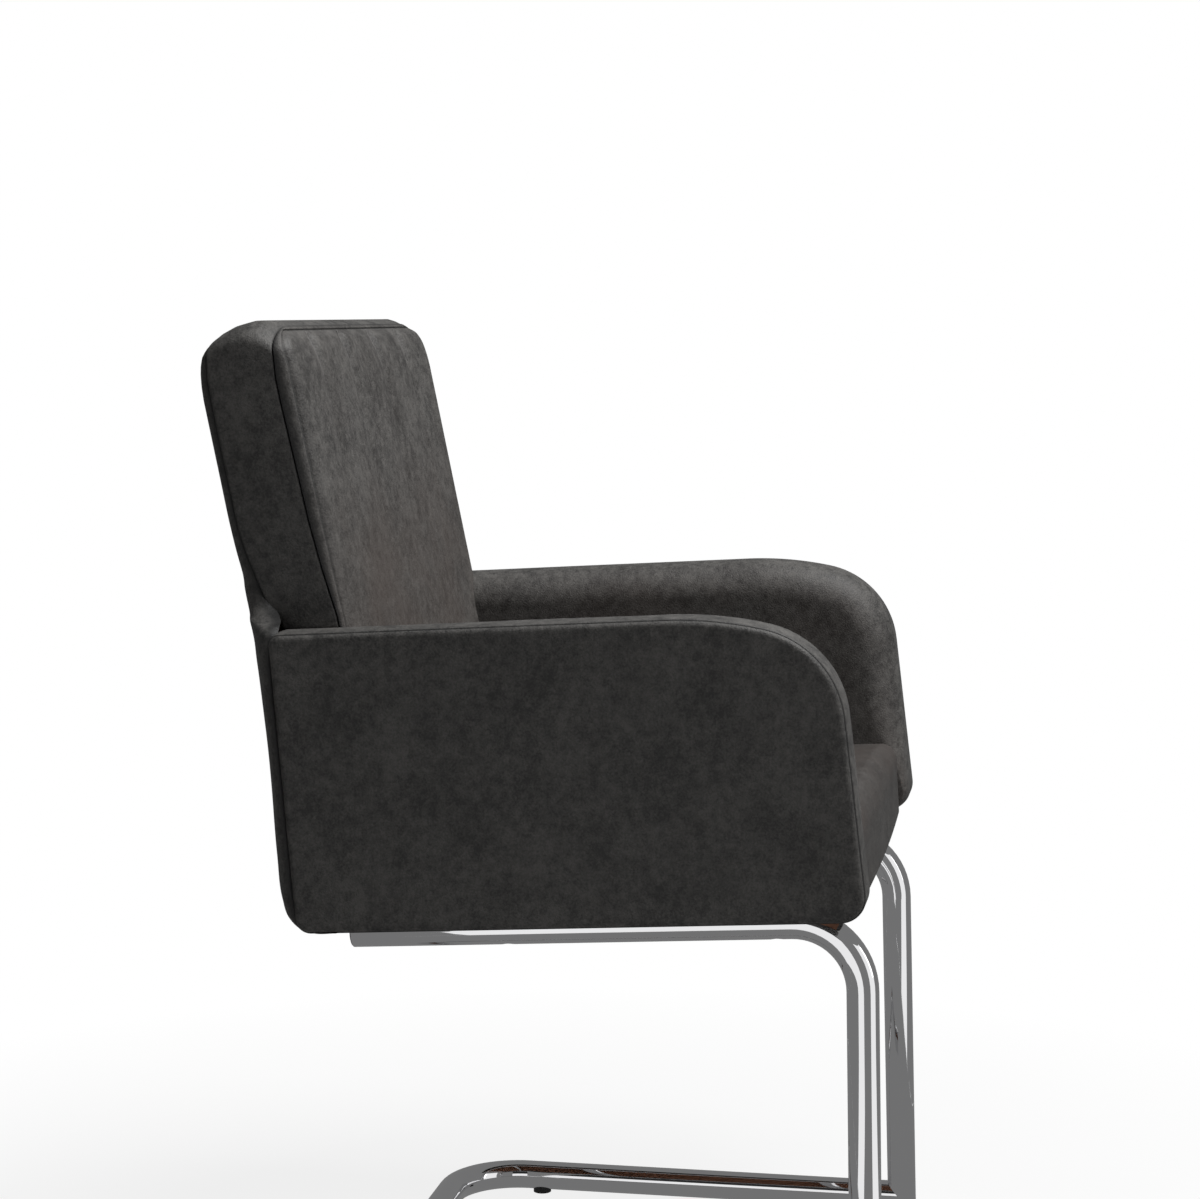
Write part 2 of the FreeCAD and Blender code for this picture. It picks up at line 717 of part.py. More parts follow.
def back_form(inset):
    """Whole back with its channels, in the seat's axes."""
    half = size("back_half_width") - inset
    roll, rear_roll = size("back_front_roll"), size("back_rear_roll")
    deep, pitch = size("back_channel_depth"), size("back_channel_pitch")
    edge, drop = size("back_edge_width"), size("back_edge_drop")
    # Each station holds its distance from the middle, how far the front stands in
    # at the top and at the foot, how far the rear stands in, and the top's drop.
    # The front swells between the seams and is drawn in at them, most at the top.
    stations = [
        (half, roll, roll, rear_roll, drop),
        (half - edge / 4, roll * 0.45, roll * 0.45, rear_roll * 0.35, drop / 2),
        (half - edge, roll * 0.1, roll * 0.1, 0, drop / 10),
        (2 * pitch, -deep * 0.4, -deep * 0.4, 0, 0),
        (1.75 * pitch, -deep * 0.5, -deep * 0.6, 0, 0),
        (1.5 * pitch, deep * 0.7, -deep * 0.6, 0, 0),
        (1.25 * pitch, -deep * 0.6, -deep * 0.8, 0, 0),
        (pitch, -deep * 0.9, -deep, 0, 0),
        (0.75 * pitch, -deep * 0.7, -deep, 0, 0),
        (0.5 * pitch, deep * 0.6, -deep, 0, 0),
        (0.25 * pitch, -deep * 0.7, -deep, 0, 0),
        (0, -deep, -deep, 0, 0),
    ]
    mirrored = [(-x, *rest) for x, *rest in stations[:-1]]
    height, thick = size("back_height") - inset, size("back_thickness") - inset
    foot = 2 * size("hidden_corner_radius")
    radii = [foot, foot, size("back_top_rear_radius"), size("back_top_front_radius")]
    wires = []
    for x, top_front, foot_front, rear, lowered in mirrored + stations[::-1]:
        points = [(foot_front + inset, inset), (thick - rear, inset),
                  (thick - rear, height - lowered), (top_front + inset, height - lowered)]
        wires.append(rounded_wire(points, radii, x))
    form = lofted(wires)
    form.Placement = BACK
    return form


def back_slab(near, far):
    """Block between two planes of the back's thickness, in the seat's axes."""
    reach = size("back_height") * 2
    slab = block((-reach, near, -reach), (reach, far, reach))
    slab.Placement = BACK
    return slab


def back_room():
    """Space that the back may fill: between the arms, then over them."""
    reach = size("back_height") * 2
    shoulder = size("arm_top") + size("back_arm_clearance")
    inside = size("arm_inner") - GAP
    low = block((-inside, 0, BASE_TOP + GAP), (inside, size("base_rear") * 2, shoulder))
    high = block((-reach, 0, shoulder), (reach, reach, reach))
    return low.fuse(high)


def rear_wood():
    """Plane of the back's thickness behind the wooden frame."""
    return size("stile_front") + size("stile_depth") + GAP


def make_back_covers():
    """Front panel with its channels, and the gusset round the sides and top."""
    skin = back_form(0).cut(back_form(COVER)).common(back_room())
    seam = size("back_front_roll")
    rear_seam = size("back_thickness") - size("back_rear_roll")
    reach = size("back_height")
    shoulder = size("arm_top") + size("back_arm_clearance")
    over_arms = block((-reach, 0, shoulder), (reach, reach, reach * 2))
    shape_part(skin.common(back_slab(-reach, seam)), "back_front_cover")
    shape_part(skin.common(back_slab(seam, rear_seam)).common(over_arms), "back_gusset")
    return skin.common(back_slab(rear_seam, reach)).common(over_arms)


def make_back_foam():
    """Front cushion foam and the thin pad behind the frame."""
    form = back_form(COVER + GAP)
    inner_room = back_room()
    strap_front = size("stile_front") - size("webbing_thickness") - GAP
    shape_part(form.common(inner_room).common(back_slab(-strap_front, strap_front)), "back_foam")
    rear_seam = size("back_thickness") - size("back_rear_roll")
    shape_part(form.common(inner_room).common(back_slab(rear_wood(), rear_seam - GAP)), "back_rear_pad")


def back_foot():
    """Lowest w at which the rear of the wooden frame clears the base board."""
    lean = math.radians(size("back_lean"))
    drop = (size("stile_front") + size("stile_depth")) * math.sin(lean)
    return (BASE_TOP + drop - size("back_front_height")) / math.cos(lean)


def make_back_frame():
    """Two stiles on the base board, joined by a top and a bottom rail."""
    depth, width = size("stile_depth"), size("stile_width")
    front = size("stile_front")
    height = size("back_height") - size("back_top_rear_radius")
    outer = size("stile_centre") + width / 2
    inner = size("stile_centre") - width / 2
    for name, side in SIDES:
        low, high = sorted((side * inner, side * outer))
        stile = block((low, front, 0), (high, front + depth, height))
        stile.Placement = BACK
        reach = size("back_height")
        floor = block((-reach, -reach, -reach), (reach, reach, BASE_TOP))
        shape_part(stile.cut(floor), f"back_stile_{name}")
    foot = back_foot()
    for name, low in (("back_top_rail", height - size("top_rail_height")),
                      ("back_bottom_rail", foot + size("top_rail_height"))):
        rail = box_part(name, ("2 * sizes.stile_centre - sizes.stile_width", "sizes.stile_depth",
                               "sizes.top_rail_height"), Vector(-inner, front, low))
        keep(rail, name, SEAT * BACK * rail.Placement)


def make_back_webbing():
    """Elastic straps stapled across the front of the stiles."""
    front = size("stile_front")
    outer = size("stile_centre") + size("stile_width") / 2
    count = int(size("back_strap_count"))
    low = back_foot() + 2 * size("top_rail_height")
    high = size("back_height") - size("back_top_rear_radius") - size("top_rail_height")
    pitch = (high - low - size("back_strap_width")) / (count - 1)
    straps = []
    for i in range(count):
        w = low + i * pitch
        straps.append(block((-outer, front - size("webbing_thickness"), w),
                            (outer, front, w + size("back_strap_width"))))
    shape_part(Part.makeCompound(straps), "back_webbing", SEAT * BACK)


# Rear cover


def edge_depth(gap, place):
    """How far the rear cover's face stands in at a gap from its side edge."""
    roll, reach = size(f"rear_cover_{place}_roll"), size(f"rear_cover_{place}_reach")
    share = max(0, 1 - gap / reach)
    return roll * (1 - math.sqrt(1 - share * share))


def rear_form(inset):
    """Padded panel behind the seat shell, from its underside to the arms' tops.

    Its face curves forward to both sides, further at the arms' tops than below.
    """
    bottom = size("bottom_cover_thickness")
    top = size("arm_top") + size("back_arm_clearance")
    foot_y = size("arm_rear") + size("rear_cover_depth")
    head_y = back_point(size("back_thickness"), top)[0]
    front = size("arm_rear") - size("rear_cover_wrap") - (2 * COVER if inset else 0)
    corner = size("hidden_corner_radius")
    radii = [corner, size("rear_cover_heel_radius") - inset, corner, corner]
    outer, reach = size("arm_outer"), size("rear_cover_head_reach")
    gaps = [reach * share for share in (0, 0.02, 0.06, 0.12, 0.22, 0.35, 0.5, 0.7, 1)]
    wires = []
    for x, gap in [(gap - outer, gap) for gap in gaps] + [(outer - gap, gap) for gap in gaps[::-1]]:
        points = [(front, bottom), (foot_y - edge_depth(gap, "foot"), bottom),
                  (head_y - edge_depth(gap, "head"), top), (front, top)]
        moved = inset_polygon(points, [inset, inset, inset, 0])
        wires.append(rounded_wire(moved, radii, x - math.copysign(inset, x)))
    return lofted(wires)


def make_rear_cover(upper):
    """One leather panel down the whole rear, and the foam inside it."""
    reach = size("arm_outer") * 2
    outline, radii = arm_outline()
    grown = rounded_wire(inset_polygon(outline, -GAP), [r + GAP for r in radii], -reach)
    shell_room = Part.Face(grown).extrude(Vector(2 * reach, 0, 0))
    inside = size("arm_inner") - GAP
    middle = block((-inside, -reach, 0), (inside, reach, reach * 2))
    ends = shell_room.cut(middle)
    rear_seam = size("back_thickness") - size("back_rear_roll")
    body = middle.common(back_slab(-reach, rear_seam + GAP))
    board_room = block((-reach, -reach, -reach), (reach, size("base_rear") + GAP, BASE_TOP + GAP))
    skin = rear_form(0).cut(rear_form(COVER)).cut(ends).cut(body).cut(board_room)
    shape_part(skin.fuse(upper), "rear_cover")
    pad = rear_form(COVER + GAP).cut(ends).cut(body).cut(board_room)
    shape_part(pad, "rear_pad")


# Seat cushion


def seat_form(inset):
    """Seat cushion, crowned from side to side, open room underneath."""
    half = size("seat_half_width")
    bottom = size("bottom_cover_thickness") - (2 * COVER if inset else 0)
    corner = size("hidden_corner_radius")
    radii = [corner, corner, size("seat_rear_radius"), size("seat_front_radius") - inset]
    wires = []
    for share in (-1, -0.96, -0.85, -0.6, -0.3, 0, 0.3, 0.6, 0.85, 0.96, 1):
        lift = size("seat_crown") * (1 - share * share)
        drop = size("seat_edge_drop") if abs(share) == 1 else 0
        top = size("seat_side_height") + lift - drop
        rear_foot, rear_head = (back_point(-size("back_channel_depth"), height)[0] - GAP
                                for height in (bottom, top))
        points = [(-size("seat_front"), bottom), (rear_foot, bottom), (rear_head, top),
                  (-size("seat_front") - size("seat_front_overhang"), top)]
        moved = inset_polygon(points, [0, inset, inset, inset])
        wires.append(rounded_wire(moved, radii, share * (half - inset)))
    return lofted(wires)


def make_seat_cushion():
    """Leather cover with skirts, and the foam on the webbing."""
    reach = size("arm_outer") * 2
    under = block((-reach, -size("base_front") + COVER, -reach), (reach, reach, WEBBING_TOP + GAP))
    sides = block((-carcass_half_width(), -size("base_front") - COVER, -reach),
                  (carcass_half_width(), reach, WEBBING_TOP))
    cover = seat_form(0).cut(seat_form(COVER))
    cover = cover.cut(sides.common(under))
    for _, side in SIDES:
        cover = cover.cut(dowel_holes(side))
    rear_skirt = block((-reach, seat_rail_rear() - COVER, -reach), (reach, reach, WEBBING_TOP + GAP))
    shape_part(cover.cut(rear_skirt), "seat_cover")
    foam = seat_form(COVER + GAP).cut(block((-reach, -reach, -reach), (reach, reach, WEBBING_TOP + GAP)))
    shape_part(foam, "seat_foam")
    front_foam = seat_form(COVER + GAP).common(
        block((-reach, -reach, size("bottom_cover_thickness")),
              (reach, -size("base_front") - GAP, WEBBING_TOP)))
    shape_part(front_foam, "seat_front_foam")


def centre_over_origin():
    """Move everything along Y so that the origin is under the middle."""
    boxes = [piece.Shape.BoundBox for piece in sub_parts]
    middle = (min(b.YMin for b in boxes) + max(b.YMax for b in boxes)) / 2
    for piece in sub_parts:
        piece.Placement = Placement(Vector(0, -middle, 0), Rotation()) * piece.Placement
    return middle


def check_document():
    """Stop on any failed feature or unsound sub-part."""
    for item in doc.Objects:
        if "Invalid" in item.State or "Error" in item.State:
            raise RuntimeError(f"{item.Label} failed: {item.State}")
    for piece in sub_parts:
        if piece.Shape.isNull() or not piece.Shape.isValid() or not piece.Shape.Solids:
            raise RuntimeError(f"{piece.Label} has no sound shape")


for name, side in SIDES:
    make_side_tube(f"side_tube_{name}", side)
make_floor_loop()
make_glides()
make_cross_tube("front_cross_tube", "front_cross_tube_place")
make_cross_tube("rear_cross_tube", "rear_cross_tube_place")
make_rail_plugs()
make_bolt_set()
make_bottom_cover()
make_base_board()
make_seat_rails()
make_seat_webbing()
make_seat_cushion()
for name, side in SIDES:
    make_arm(name, side)
make_dowels()
upper_rear = make_back_covers()
make_back_foam()
make_back_frame()
make_back_webbing()
make_rear_cover(upper_rear)

doc.recompute()
shift = centre_over_origin()
doc.recompute()
check_document()

os.makedirs("parts", exist_ok=True)
for piece in sub_parts:
    piece.Shape.exportStep(f"parts/{piece.Label}.step")
print(f"{len(sub_parts)} sub-parts, moved {-shift:.2f} mm along Y")
for piece in sub_parts:
    box = piece.Shape.BoundBox
    print(f"{piece.Label:26s} {len(piece.Shape.Solids):2d} solids "
          f"X {box.XMin:.1f} {box.XMax:.1f} Y {box.YMin:.1f} {box.YMax:.1f} Z {box.ZMin:.1f} {box.ZMax:.1f}")
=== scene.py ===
"""Padded cantilever armchair on a chromed tube frame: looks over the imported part.

The tube frame and its fittings come first, then what the shell hides, then the
leather over arms, back and seat, and last the camera and the room. Lengths of
the chair are in millimetres until a mesh is made.
"""

import json
import math

import bpy
import numpy as np
from mathutils import Matrix, Vector


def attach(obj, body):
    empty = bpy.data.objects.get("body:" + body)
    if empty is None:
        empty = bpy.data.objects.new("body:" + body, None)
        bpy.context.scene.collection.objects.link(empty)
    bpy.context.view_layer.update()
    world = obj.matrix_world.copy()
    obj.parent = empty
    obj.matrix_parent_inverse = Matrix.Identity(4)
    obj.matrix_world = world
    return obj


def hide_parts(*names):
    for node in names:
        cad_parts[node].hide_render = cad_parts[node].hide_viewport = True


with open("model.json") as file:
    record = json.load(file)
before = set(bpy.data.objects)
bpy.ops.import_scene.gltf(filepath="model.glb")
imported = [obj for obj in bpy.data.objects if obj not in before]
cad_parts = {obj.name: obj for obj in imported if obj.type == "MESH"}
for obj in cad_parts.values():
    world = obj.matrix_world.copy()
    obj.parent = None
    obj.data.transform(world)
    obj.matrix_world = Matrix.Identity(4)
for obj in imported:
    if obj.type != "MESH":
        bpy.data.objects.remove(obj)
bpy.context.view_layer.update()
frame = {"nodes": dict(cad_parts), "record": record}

# Tube frame
# Round steel tube, bent and polished chrome plated: a side tube on each side with rail
# and leg in one, the loop on the floor, and two cross tubes welded between the rails.
CHROME_COLOR, CHROME_ROUGHNESS = (0.80, 0.80, 0.81), 0.025


def new_material(name):
    """Material with its node tree and Principled shader."""
    material = bpy.data.materials.new(name)
    material.use_nodes = True
    tree = material.node_tree
    return material, tree, tree.nodes["Principled BSDF"]


def plain_material(name, color, roughness, metallic=0.0, spread=0.12):
    """One colour, lighter and darker by the spread over the surface."""
    material, tree, shader = new_material(name)
    nodes, link = tree.nodes, tree.links.new
    place = nodes.new("ShaderNodeTexCoord")
    noise = nodes.new("ShaderNodeTexNoise")
    noise.inputs["Scale"].default_value = 60.0
    link(place.outputs["Object"], noise.inputs["Vector"])
    ramp = nodes.new("ShaderNodeValToRGB")
    ramp.color_ramp.elements[0].color = (*(c * (1 - spread) for c in color), 1)
    ramp.color_ramp.elements[1].color = (*(min(c * (1 + spread), 1) for c in color), 1)
    link(noise.outputs["Fac"], ramp.inputs["Fac"])
    link(ramp.outputs["Color"], shader.inputs["Base Color"])
    shader.inputs["Roughness"].default_value = roughness
    shader.inputs["Metallic"].default_value = metallic
    return material


def finish(slot, material):
    """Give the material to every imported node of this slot."""
    for row in frame["record"]["subparts"]:
        if row["material_slot"] == slot:
            mesh = frame["nodes"][row["node"]].data
            mesh.materials.clear()
            mesh.materials.append(material)


finish("chrome", plain_material("chrome_plate", CHROME_COLOR, CHROME_ROUGHNESS, 1.0, spread=0.01))

# Glides and rail plugs
# Black moulded plastic: four glides pegged into the underside of the floor loop, and a
# plug pressed into the open rear end of each rail.
finish("plastic", plain_material("black_plastic", (0.03, 0.03, 0.03), 0.5))

# Bolts, washers and nuts
# Zinc plated steel. The bolts stand in the rails with hollow-backed washers under their
# heads, and screw up into nuts in the base board.
finish("zinc_steel", plain_material("zinc_plate", (0.6, 0.6, 0.58), 0.35, 1.0))

# Bottom cover
# Brown fibre sheet, cut flat and stapled to the underside of the base board, so that it
# lies between the board and the rails.
finish("underside", plain_material("brown_sheet", (0.13, 0.05, 0.022), 0.8))

# Boards, rails and stiles
# Plywood base and arm boards, and beech rails, stiles and dowels, glued together. They
# stay hidden, and one pale wood finish serves them all.
timber = plain_material("beech", (0.6, 0.42, 0.26), 0.6)
finish("plywood", timber)
finish("beech", timber)

# Webbing and foam
# Black elastic webbing stapled across the seat and back frames, and pale moulded foam
# over it and over the boards.
finish("webbing", plain_material("webbing", (0.06, 0.06, 0.06), 0.8))
finish("foam", plain_material("foam", (0.8, 0.75, 0.6), 0.9))

# Leather
# Anthracite aged leather with a suede-like nap, cut in panels and sewn together. All the
# panels share one look: painted shade in the seams and tucks, browner in places, and a
# painted highlight along each pleat's fold.
DARK_HIDE, PALE_HIDE = (0.019, 0.0184, 0.0177, 1), (0.076, 0.073, 0.069, 1)
BROWN_HIDE, PLEAT_HIGHLIGHT = (0.052, 0.040, 0.034, 1), (0.17, 0.165, 0.16, 1)
SEAM_SHADOW = (0.004, 0.004, 0.004, 1)


def leather_look():
    """Node group of aged leather: mottled patches, warm places, painted shade in seams, fine grain.

    It reads three point attributes: one of painted shade (1 in a seam or tuck), warm (1 where
    the hide is browner) and one of painted highlight (1 on a pleat's fold). The mottle is three
    noises of falling size, added.
    """
    group = bpy.data.node_groups.new("leather_look", "ShaderNodeTree")
    for label, kind in (("Color", "NodeSocketColor"), ("Roughness", "NodeSocketFloat"),
                        ("Height", "NodeSocketFloat")):
        group.interface.new_socket(label, in_out="OUTPUT", socket_type=kind)
    nodes, link = group.nodes, group.links.new
    out = nodes.new("NodeGroupOutput")
    place = nodes.new("ShaderNodeTexCoord")

    def noise(scale, detail, roughness=0.6):
        texture = nodes.new("ShaderNodeTexNoise")
        for label, number in (("Scale", scale), ("Detail", detail), ("Roughness", roughness)):
            texture.inputs[label].default_value = number
        link(place.outputs["Object"], texture.inputs["Vector"])
        return texture.outputs["Fac"]

    def spread(value, low, high, to_low=0.0, to_high=1.0):
        span = nodes.new("ShaderNodeMapRange")
        for label, number in (("From Min", low), ("From Max", high), ("To Min", to_low), ("To Max", to_high)):
            span.inputs[label].default_value = number
        link(value, span.inputs["Value"])
        return span.outputs["Result"]

    def fill(sockets, values, plain):
        for socket, value in zip(sockets, values):
            if isinstance(value, plain):
                socket.default_value = value
            else:
                link(value, socket)

    def calculate(operation, first, second):
        node = nodes.new("ShaderNodeMath")
        node.operation = operation
        fill(node.inputs[:2], (first, second), float)
        return node.outputs[0]

    def blend(factor, first, second):
        node = nodes.new("ShaderNodeMix")
        node.data_type = "RGBA"
        link(factor, node.inputs["Factor"])
        fill(node.inputs[6:8], (first, second), tuple)
        return node.outputs[2]

    def attribute(label):
        node = nodes.new("ShaderNodeAttribute")
        node.attribute_name = label
        return node.outputs["Fac"]

    patches, blots, nap = noise(22, 8, 0.72), noise(110, 5, 0.7), noise(480, 3, 0.7)
    mottle = calculate("ADD", calculate("MULTIPLY", patches, 0.3),
                       calculate("ADD", calculate("MULTIPLY", blots, 0.4), calculate("MULTIPLY", nap, 0.3)))
    tone = blend(spread(mottle, 0.42, 0.58), DARK_HIDE, PALE_HIDE)
    brown = calculate("MULTIPLY", attribute("warm"), spread(noise(6, 3), 0.38, 0.62, 0.35, 1.0))
    tone = blend(brown, tone, BROWN_HIDE)
    # Painted highlight along the pleats' folds, then painted shade in the seams and tucks.
    tone = blend(attribute("pleat_highlight"), tone, PLEAT_HIGHLIGHT)
    link(blend(attribute("painted_shade"), tone, SEAM_SHADOW), out.inputs["Color"])
    link(spread(blots, 0.35, 0.65, 0.56, 0.68), out.inputs["Roughness"])
    pores = nodes.new("ShaderNodeTexVoronoi")
    pores.inputs["Scale"].default_value = 750
    link(place.outputs["Object"], pores.inputs["Vector"])
    link(calculate("ADD", calculate("MULTIPLY", pores.outputs["Distance"], 0.5), nap), out.inputs["Height"])
    return group


def leather_material(name):
    """Padded leather dressed in the shared look, its grain raised by a bump."""
    material, tree, shader = new_material(name)
    look = tree.nodes.new("ShaderNodeGroup")
    look.node_tree = leather_look()
    bump = tree.nodes.new("ShaderNodeBump")
    bump.inputs["Strength"].default_value = 0.5
    bump.inputs["Distance"].default_value = 0.0007
    tree.links.new(look.outputs["Color"], shader.inputs["Base Color"])
    tree.links.new(look.outputs["Roughness"], shader.inputs["Roughness"])
    tree.links.new(look.outputs["Height"], bump.inputs["Height"])
    tree.links.new(bump.outputs["Normal"], shader.inputs["Normal"])
    shader.inputs["Specular IOR Level"].default_value = 0.35
    return material


leather = leather_material("anthracite_leather")
finish("leather", leather)

# Arms
# A plywood board between two halves of foam. One leather panel is the flat outer side,
# and a sleeve sewn to its rim goes over the top and front and rolls down to the seat.
# Shell axes: x to the sitter's left, y back along the tilted rails and z square to them.
RAIL_TILT, RAIL_TOP, ROOM_SHIFT = math.radians(3.38), 386.4, -25.01
SIDES = (("right", -1), ("left", 1))
ARM_OUTER, ARM_INNER = 290.0, 225.0
ARM_BOTTOM, ARM_TOP = 4.0, 260.1
ARM_FRONT, ARM_FRONT_LEAN = 262.5, math.radians(3.65)
ARM_REAR, ARM_REAR_LEAN = 224.0, math.radians(1.7)
BROW_START, BROW_RADIUS, BROW_TURN = 103.8, 347.0, math.radians(13.5)
NOSE_RADIUS, TOE_RADIUS, HEEL_RADIUS, CORNER_RADIUS = 88.0, 22.0, 14.0, 10.0
SEAM_SETBACK, SEAM_DEPTH, SEAM_TUCK, SEAM_REACH = 4.0, 1.3, 6.0, 8.0
LIP_WIDTH, SEAM_SHADE = 2.5, 0.8
PANEL_ROLL = 5.0
ARM_CROWN, CROWN_REACH, ARM_SHOULDER = 1.0, 15.0, 34.0
HIDDEN_FALL = 0.2


def shell_to_room(points):
    """Room millimetres of points (x, y, z) in the shell's axes."""
    x, y, z = np.moveaxis(np.asarray(points, float), -1, 0)
    cos, sin = math.cos(RAIL_TILT), math.sin(RAIL_TILT)
    return np.stack([x, y * cos + z * sin + ROOM_SHIFT, RAIL_TOP - y * sin + z * cos], -1)


def grid_mesh(name, points, material, inside, ring=False, painted_shade=0.0, warm=0.0, pleat_highlight=0.0):
    """Smooth mesh from shell points[row, column], its faces turned away from the point inside.

    A ring's last row meets its first. Painted shade, warm and painted highlight, from 0 to 1,
    are kept as point attributes.
    """
    rows, columns = points.shape[:2]
    index = np.arange(rows * columns).reshape(rows, columns)
    if ring:
        index = np.vstack([index, index[:1]])
    corners = np.stack([index[:-1, :-1], index[:-1, 1:], index[1:, 1:], index[1:, :-1]], -1).reshape(-1, 4)
    flat = shell_to_room(points).reshape(-1, 3) / 1000
    centre = shell_to_room(inside) / 1000
    a, b, c, d = (flat[corners[:, i]] for i in range(4))
    facing = np.einsum("ij,ij->i", np.cross(c - a, d - b), (a + c) / 2 - centre).sum()
    if facing < 0:
        corners = corners[:, ::-1]
    mesh = bpy.data.meshes.new(name)
    mesh.from_pydata(flat.tolist(), [], corners.tolist())
    mesh.shade_smooth()
    mesh.materials.append(material)
    for label, shade in (("painted_shade", painted_shade), ("warm", warm), ("pleat_highlight", pleat_highlight)):
        values = np.broadcast_to(shade, (rows, columns)).ravel().astype(np.float32)
        mesh.attributes.new(label, "FLOAT", "POINT").data.foreach_set("value", values)
    piece = bpy.data.objects.new(name, mesh)
    bpy.context.scene.collection.objects.link(piece)
    return piece


def smooth_step(value, low, high):
    """0 below low, 1 above high and an S curve between."""
    share = np.clip((value - low) / (high - low), 0, 1)
    return share * share * (3 - 2 * share)


def quarter(share):
    """Height of a quarter circle's arc over its tangent: 0 at 0 and 1 at 1."""
    return 1 - np.sqrt(np.clip(1 - np.clip(share, 0, 1) ** 2, 0, 1))


def waves(points, length, seed, octaves=3):
    """Gentle random relief in -1 to 1 from crossed sines, with this wavelength."""
    rng = np.random.default_rng(seed)
    total = np.zeros(points.shape[:-1])
    for octave in range(octaves):
        for _ in range(4):
            direction = rng.normal(size=3)
            direction *= 2 * math.pi * 2 ** octave / (length * np.linalg.norm(direction))
            total += np.sin(points @ direction + rng.uniform(0, 2 * math.pi)) / 2 ** octave
    return total / (4 * sum(0.5 ** octave for octave in range(octaves)) * 0.6)


def dress(piece, *nodes, fill=0.7):
    """Attach a padded leather piece to the root and hide the nodes it stands for."""
    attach(piece, "root")
    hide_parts(*nodes)


def arm_corners():
    """Corners (y, z) of the arm's side view, anticlockwise, and their radii."""
    brow = -BROW_START - BROW_RADIUS * math.tan(BROW_TURN / 2)
    lean, slope = math.tan(ARM_FRONT_LEAN), math.tan(BROW_TURN)
    nose_z = (ARM_TOP + slope * (-ARM_FRONT - lean * ARM_BOTTOM - brow)) / (1 - slope * lean)
    rear_top = ARM_REAR + (ARM_TOP - ARM_BOTTOM) * math.tan(ARM_REAR_LEAN)
    corners = [(-ARM_FRONT, ARM_BOTTOM), (ARM_REAR, ARM_BOTTOM), (rear_top, ARM_TOP),
               (brow, ARM_TOP), (-ARM_FRONT + lean * (nose_z - ARM_BOTTOM), nose_z)]
    return corners, [TOE_RADIUS, HEEL_RADIUS, CORNER_RADIUS, BROW_RADIUS, NOSE_RADIUS]


def rounded_outline(corners, radii, inset, arc_steps=20, side_steps=40):
    """Points round a convex outline moved inwards: an arc at each corner, then a side.

    Each corner's arc has radius less the inset and touches both its sides. Arcs that
    would meet on a short side are drawn smaller.
    """
    corners = np.array(corners, float)
    count = len(corners)
    ahead = np.roll(corners, -1, 0) - corners
    ahead /= np.linalg.norm(ahead, axis=1)[:, None]
    inward = np.stack([-ahead[:, 1], ahead[:, 0]], -1)
    turns = np.arccos([np.clip(ahead[i - 1] @ ahead[i], -1, 1) for i in range(count)])
    bisectors = np.array([(inward[i - 1] + inward[i]) / (1 + inward[i - 1] @ inward[i])
                          for i in range(count)])
    moved = corners + bisectors * inset
    sides = np.linalg.norm(np.roll(moved, -1, 0) - moved, axis=1)
    reaches = np.maximum(np.array(radii) - inset, 0.5) * np.tan(turns / 2)
    fits = np.minimum(1, 0.96 * sides / (reaches + np.roll(reaches, -1)))
    arcs = []
    for i in range(count):
        radius = max(radii[i] - inset, 0.5) * min(fits[i - 1], fits[i])
        centre = moved[i] + bisectors[i] * radius
        start = math.atan2(-inward[i - 1][1], -inward[i - 1][0])
        angles = start + np.linspace(0, turns[i], arc_steps)
        arcs.append(centre + radius * np.stack([np.cos(angles), np.sin(angles)], -1))
    pieces = []
    for i in range(count):
        share = np.linspace(0, 1, side_steps + 2)[1:-1, None]
        pieces += [arcs[i], arcs[i][-1] * (1 - share) + arcs[(i + 1) % count][0] * share]
    return np.vstack(pieces)


def arm_ring(x, depth):
    """Outline of the arm in the plane x, this deep under its surface."""
    corners, radii = arm_corners()
    outline = rounded_outline(corners, radii, depth)
    return np.column_stack([np.full(len(outline), x), outline])


def arm_panel(name, face, seam, seed):
    """Rings from under the seam, round a quarter circle on to the face and in to its middle.

    The face is flat but for random dents, which leave its rim alone.
    """
    rings = [arm_ring(seam, SEAM_DEPTH + SEAM_TUCK), arm_ring(seam, SEAM_DEPTH + 1)]
    # Painted shade: full under the seam, fading round the roll on to the face.
    painted_shade = [1, 1]
    for angle in np.linspace(0, math.pi / 2, 12):
        rings.append(arm_ring(seam + (face - seam) * math.sin(angle),
                              SEAM_DEPTH + PANEL_ROLL * (1 - math.cos(angle))))
        painted_shade.append(math.exp(-5 * angle))
    edge = rings[-1]
    centre = edge.mean(0)
    shares = np.concatenate([np.linspace(0.99, 0.9, 12), np.linspace(0.88, 0, 45)])
    rings += [centre + (edge - centre) * share for share in shares]
    points = np.stack(rings, 1)
    painted_shade = np.array(painted_shade + [0] * len(shares))
    inner = smooth_step(np.arange(points.shape[1]), 13, 26)
    dents = 0.45 * waves(points, 190, seed) + 0.2 * waves(points, 60, seed + 1)
    points[..., 0] += np.sign(face - seam) * (dents - 0.5) * inner
    middle = (ARM_OUTER + ARM_INNER) / 2 * math.copysign(1, face)
    return grid_mesh(name, points, leather, (middle, 0, 130), ring=True, painted_shade=painted_shade[None])


